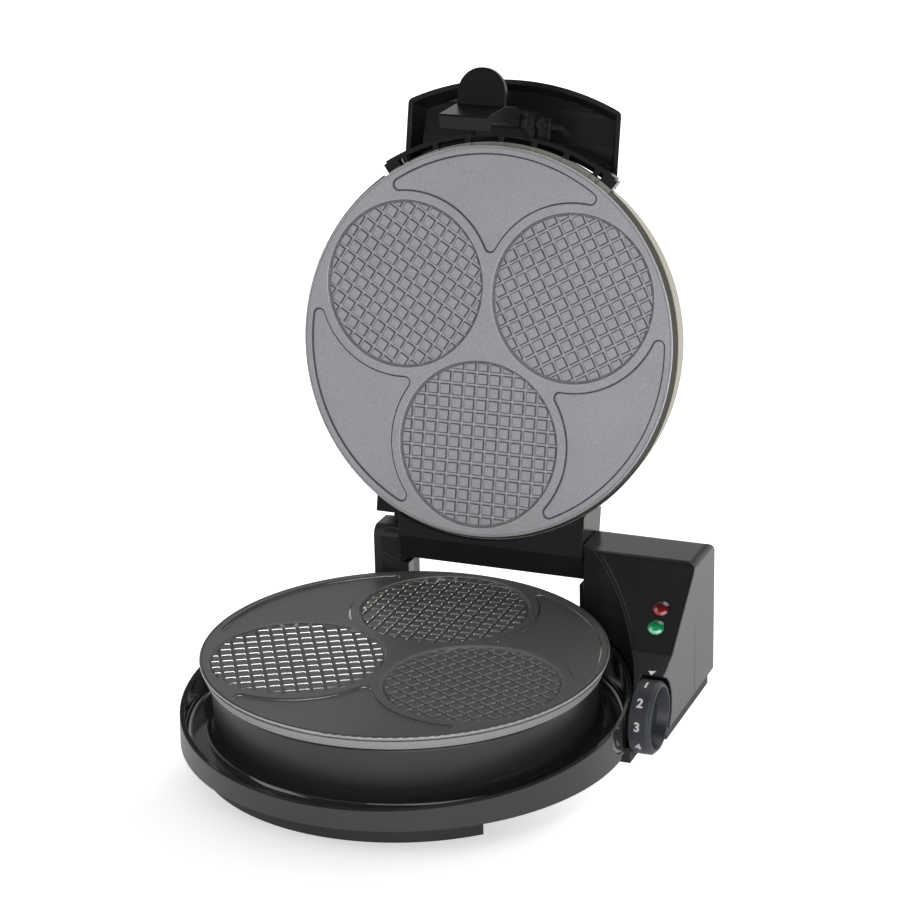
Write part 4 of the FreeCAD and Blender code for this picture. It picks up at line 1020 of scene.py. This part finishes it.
def ray_kinds(wire):
    """Wires that are 1 for camera rays and for mirrored rays."""
    kinds = wire.node("ShaderNodeLightPath").outputs()
    mirrored = kinds["Is Glossy Ray"] + kinds["Is Transmission Ray"]
    return kinds["Is Camera Ray"], mirrored.limited()


def floor_finish():
    finish = Finish("pale_floor", Roughness=FLOOR_ROUGH, Specular_IOR_Level=0.0,
                    Emission_Strength=1.0)
    x, y, _ = finish.axes()
    away = radius_of(x, y)
    camera, mirrored = ray_kinds(finish.wire)
    room = mirrored * away.step(*TABLE_ENDS) * (1.0 - y.step(*ROOM_ENDS))
    table = mirrored * (1.0 - room)
    far = away.step(*FAR_AWAY)
    beside = (far + (x * -1.0).step(*AT_LEFT) + y.step(*AT_BACK)).limited()
    level = (camera + table) * GLOW_NEAR + (camera * beside + table * far) * (GLOW_FAR - GLOW_NEAR)
    colour = room.blend(FLOOR_COLOUR, ROOM_COLOUR)
    return finish.done(Base_Color=colour, Emission_Color=level.blend(*UNLIT_TO_LIT))


def pale_floor():
    mesh = bpy.data.meshes.new("floor")
    corners = [(x * FLOOR_HALF, y * FLOOR_HALF, 0) for x, y in ((-1, -1), (1, -1), (1, 1), (-1, 1))]
    mesh.from_pydata(corners, [], [(0, 1, 2, 3)])
    floor = new_object("floor", mesh)
    mesh.materials.append(floor_finish())


pale_floor()
print("floor:", 2 * FLOOR_HALF, "m wide")

# %% [markdown]
# The air of the studio lights the object evenly.
# Seen in a polished face it is bright behind the object, and dark overhead.
# In front it is dark too, apart from a low strip of light and a bright pane at the right.
# A picture of a real studio could stand here, but a few masks of the direction do the same.
# Their pairs of numbers are parts of a direction whose length is 1.

# %% Air
AIR_LIGHT = 0.45
OVERHEAD = 0.05
FRONT_ROOM = 0.1
BACKDROP = 0.85
WINDOW = 0.9
ABOVE_ROOM = (0.3, 0.5)
BEHIND = (-0.2, 0.4)
AHEAD = (0.4, 0.6)
STRIP_STARTS, STRIP_ENDS = (0.1, 0.2), (0.4, 0.55)
STRIP_LEVEL = 0.35
PANE_STARTS, PANE_TOP = (0.25, 0.45), (0.6, 0.8)


def studio_air():
    world = bpy.data.worlds.new("studio_air")
    bpy.context.scene.world = world
    world.use_nodes = True
    tree = world.node_tree
    wire = Wire(tree, None)
    way = wire.node("ShaderNodeTexCoord", out="Generated")
    x, y, z = wire.node("ShaderNodeSeparateXYZ", sockets={"Vector": way}).outputs().values()
    low = 1.0 - z.step(*ABOVE_ROOM)
    behind = y.step(*BEHIND)
    ahead = (y * -1.0).step(*AHEAD)
    strip = z.between(STRIP_STARTS, STRIP_ENDS) * STRIP_LEVEL
    right_pane = x.step(*PANE_STARTS) * (1.0 - z.step(*PANE_TOP))
    window = ahead * (strip + right_pane).limited()
    room = OVERHEAD + low * (FRONT_ROOM + behind * BACKDROP) + window * WINDOW
    camera, mirrored = ray_kinds(wire)
    level = camera + (1.0 - camera) * (mirrored * room + (1.0 - mirrored) * AIR_LIGHT)
    background = tree.nodes["Background"]
    background.inputs["Strength"].default_value = 1.0
    wire.feed(background.inputs["Color"], level.blend(*UNLIT_TO_LIT))


studio_air()
print("air:", AIR_LIGHT)

# %% [markdown]
# Three large soft lamps, in front, at the left and high behind, give the soft shadow.
# Their size matters more than their power: a wide lamp makes long, calm highlights.
# The front one stands where the walls of the left pocket mirror it, as in the photograph.

# %% Lamps
LAMP_AIM = Vector((0.0, 0.0, 0.12))
LAMPS = {
    "front_softbox": {"at": (1.1, -1.6, 0.6), "size": (2.6, 1.1), "power": 17.0},
    "left_softbox": {"at": (-1.6, -0.8, 1.2), "size": (1.2, 0.8), "power": 6.0},
    "back_softbox": {"at": (0.4, 1.1, 1.6), "size": (1.4, 1.4), "power": 10.0},
}


def soft_lamp(name, at, size, power):
    data = bpy.data.lights.new(name, "AREA")
    data.shape = "RECTANGLE"
    data.size, data.size_y = size
    data.energy = power
    at = Vector(at)
    turn = (LAMP_AIM - at).to_track_quat("-Z", "Y").to_matrix().to_4x4()
    new_object(name, data).matrix_world = Matrix.Translation(at) @ turn


for name, lamp in LAMPS.items():
    soft_lamp(name, **lamp)
bpy.context.scene.view_settings.view_transform = "Standard"
print("lamps:", ", ".join(LAMPS))
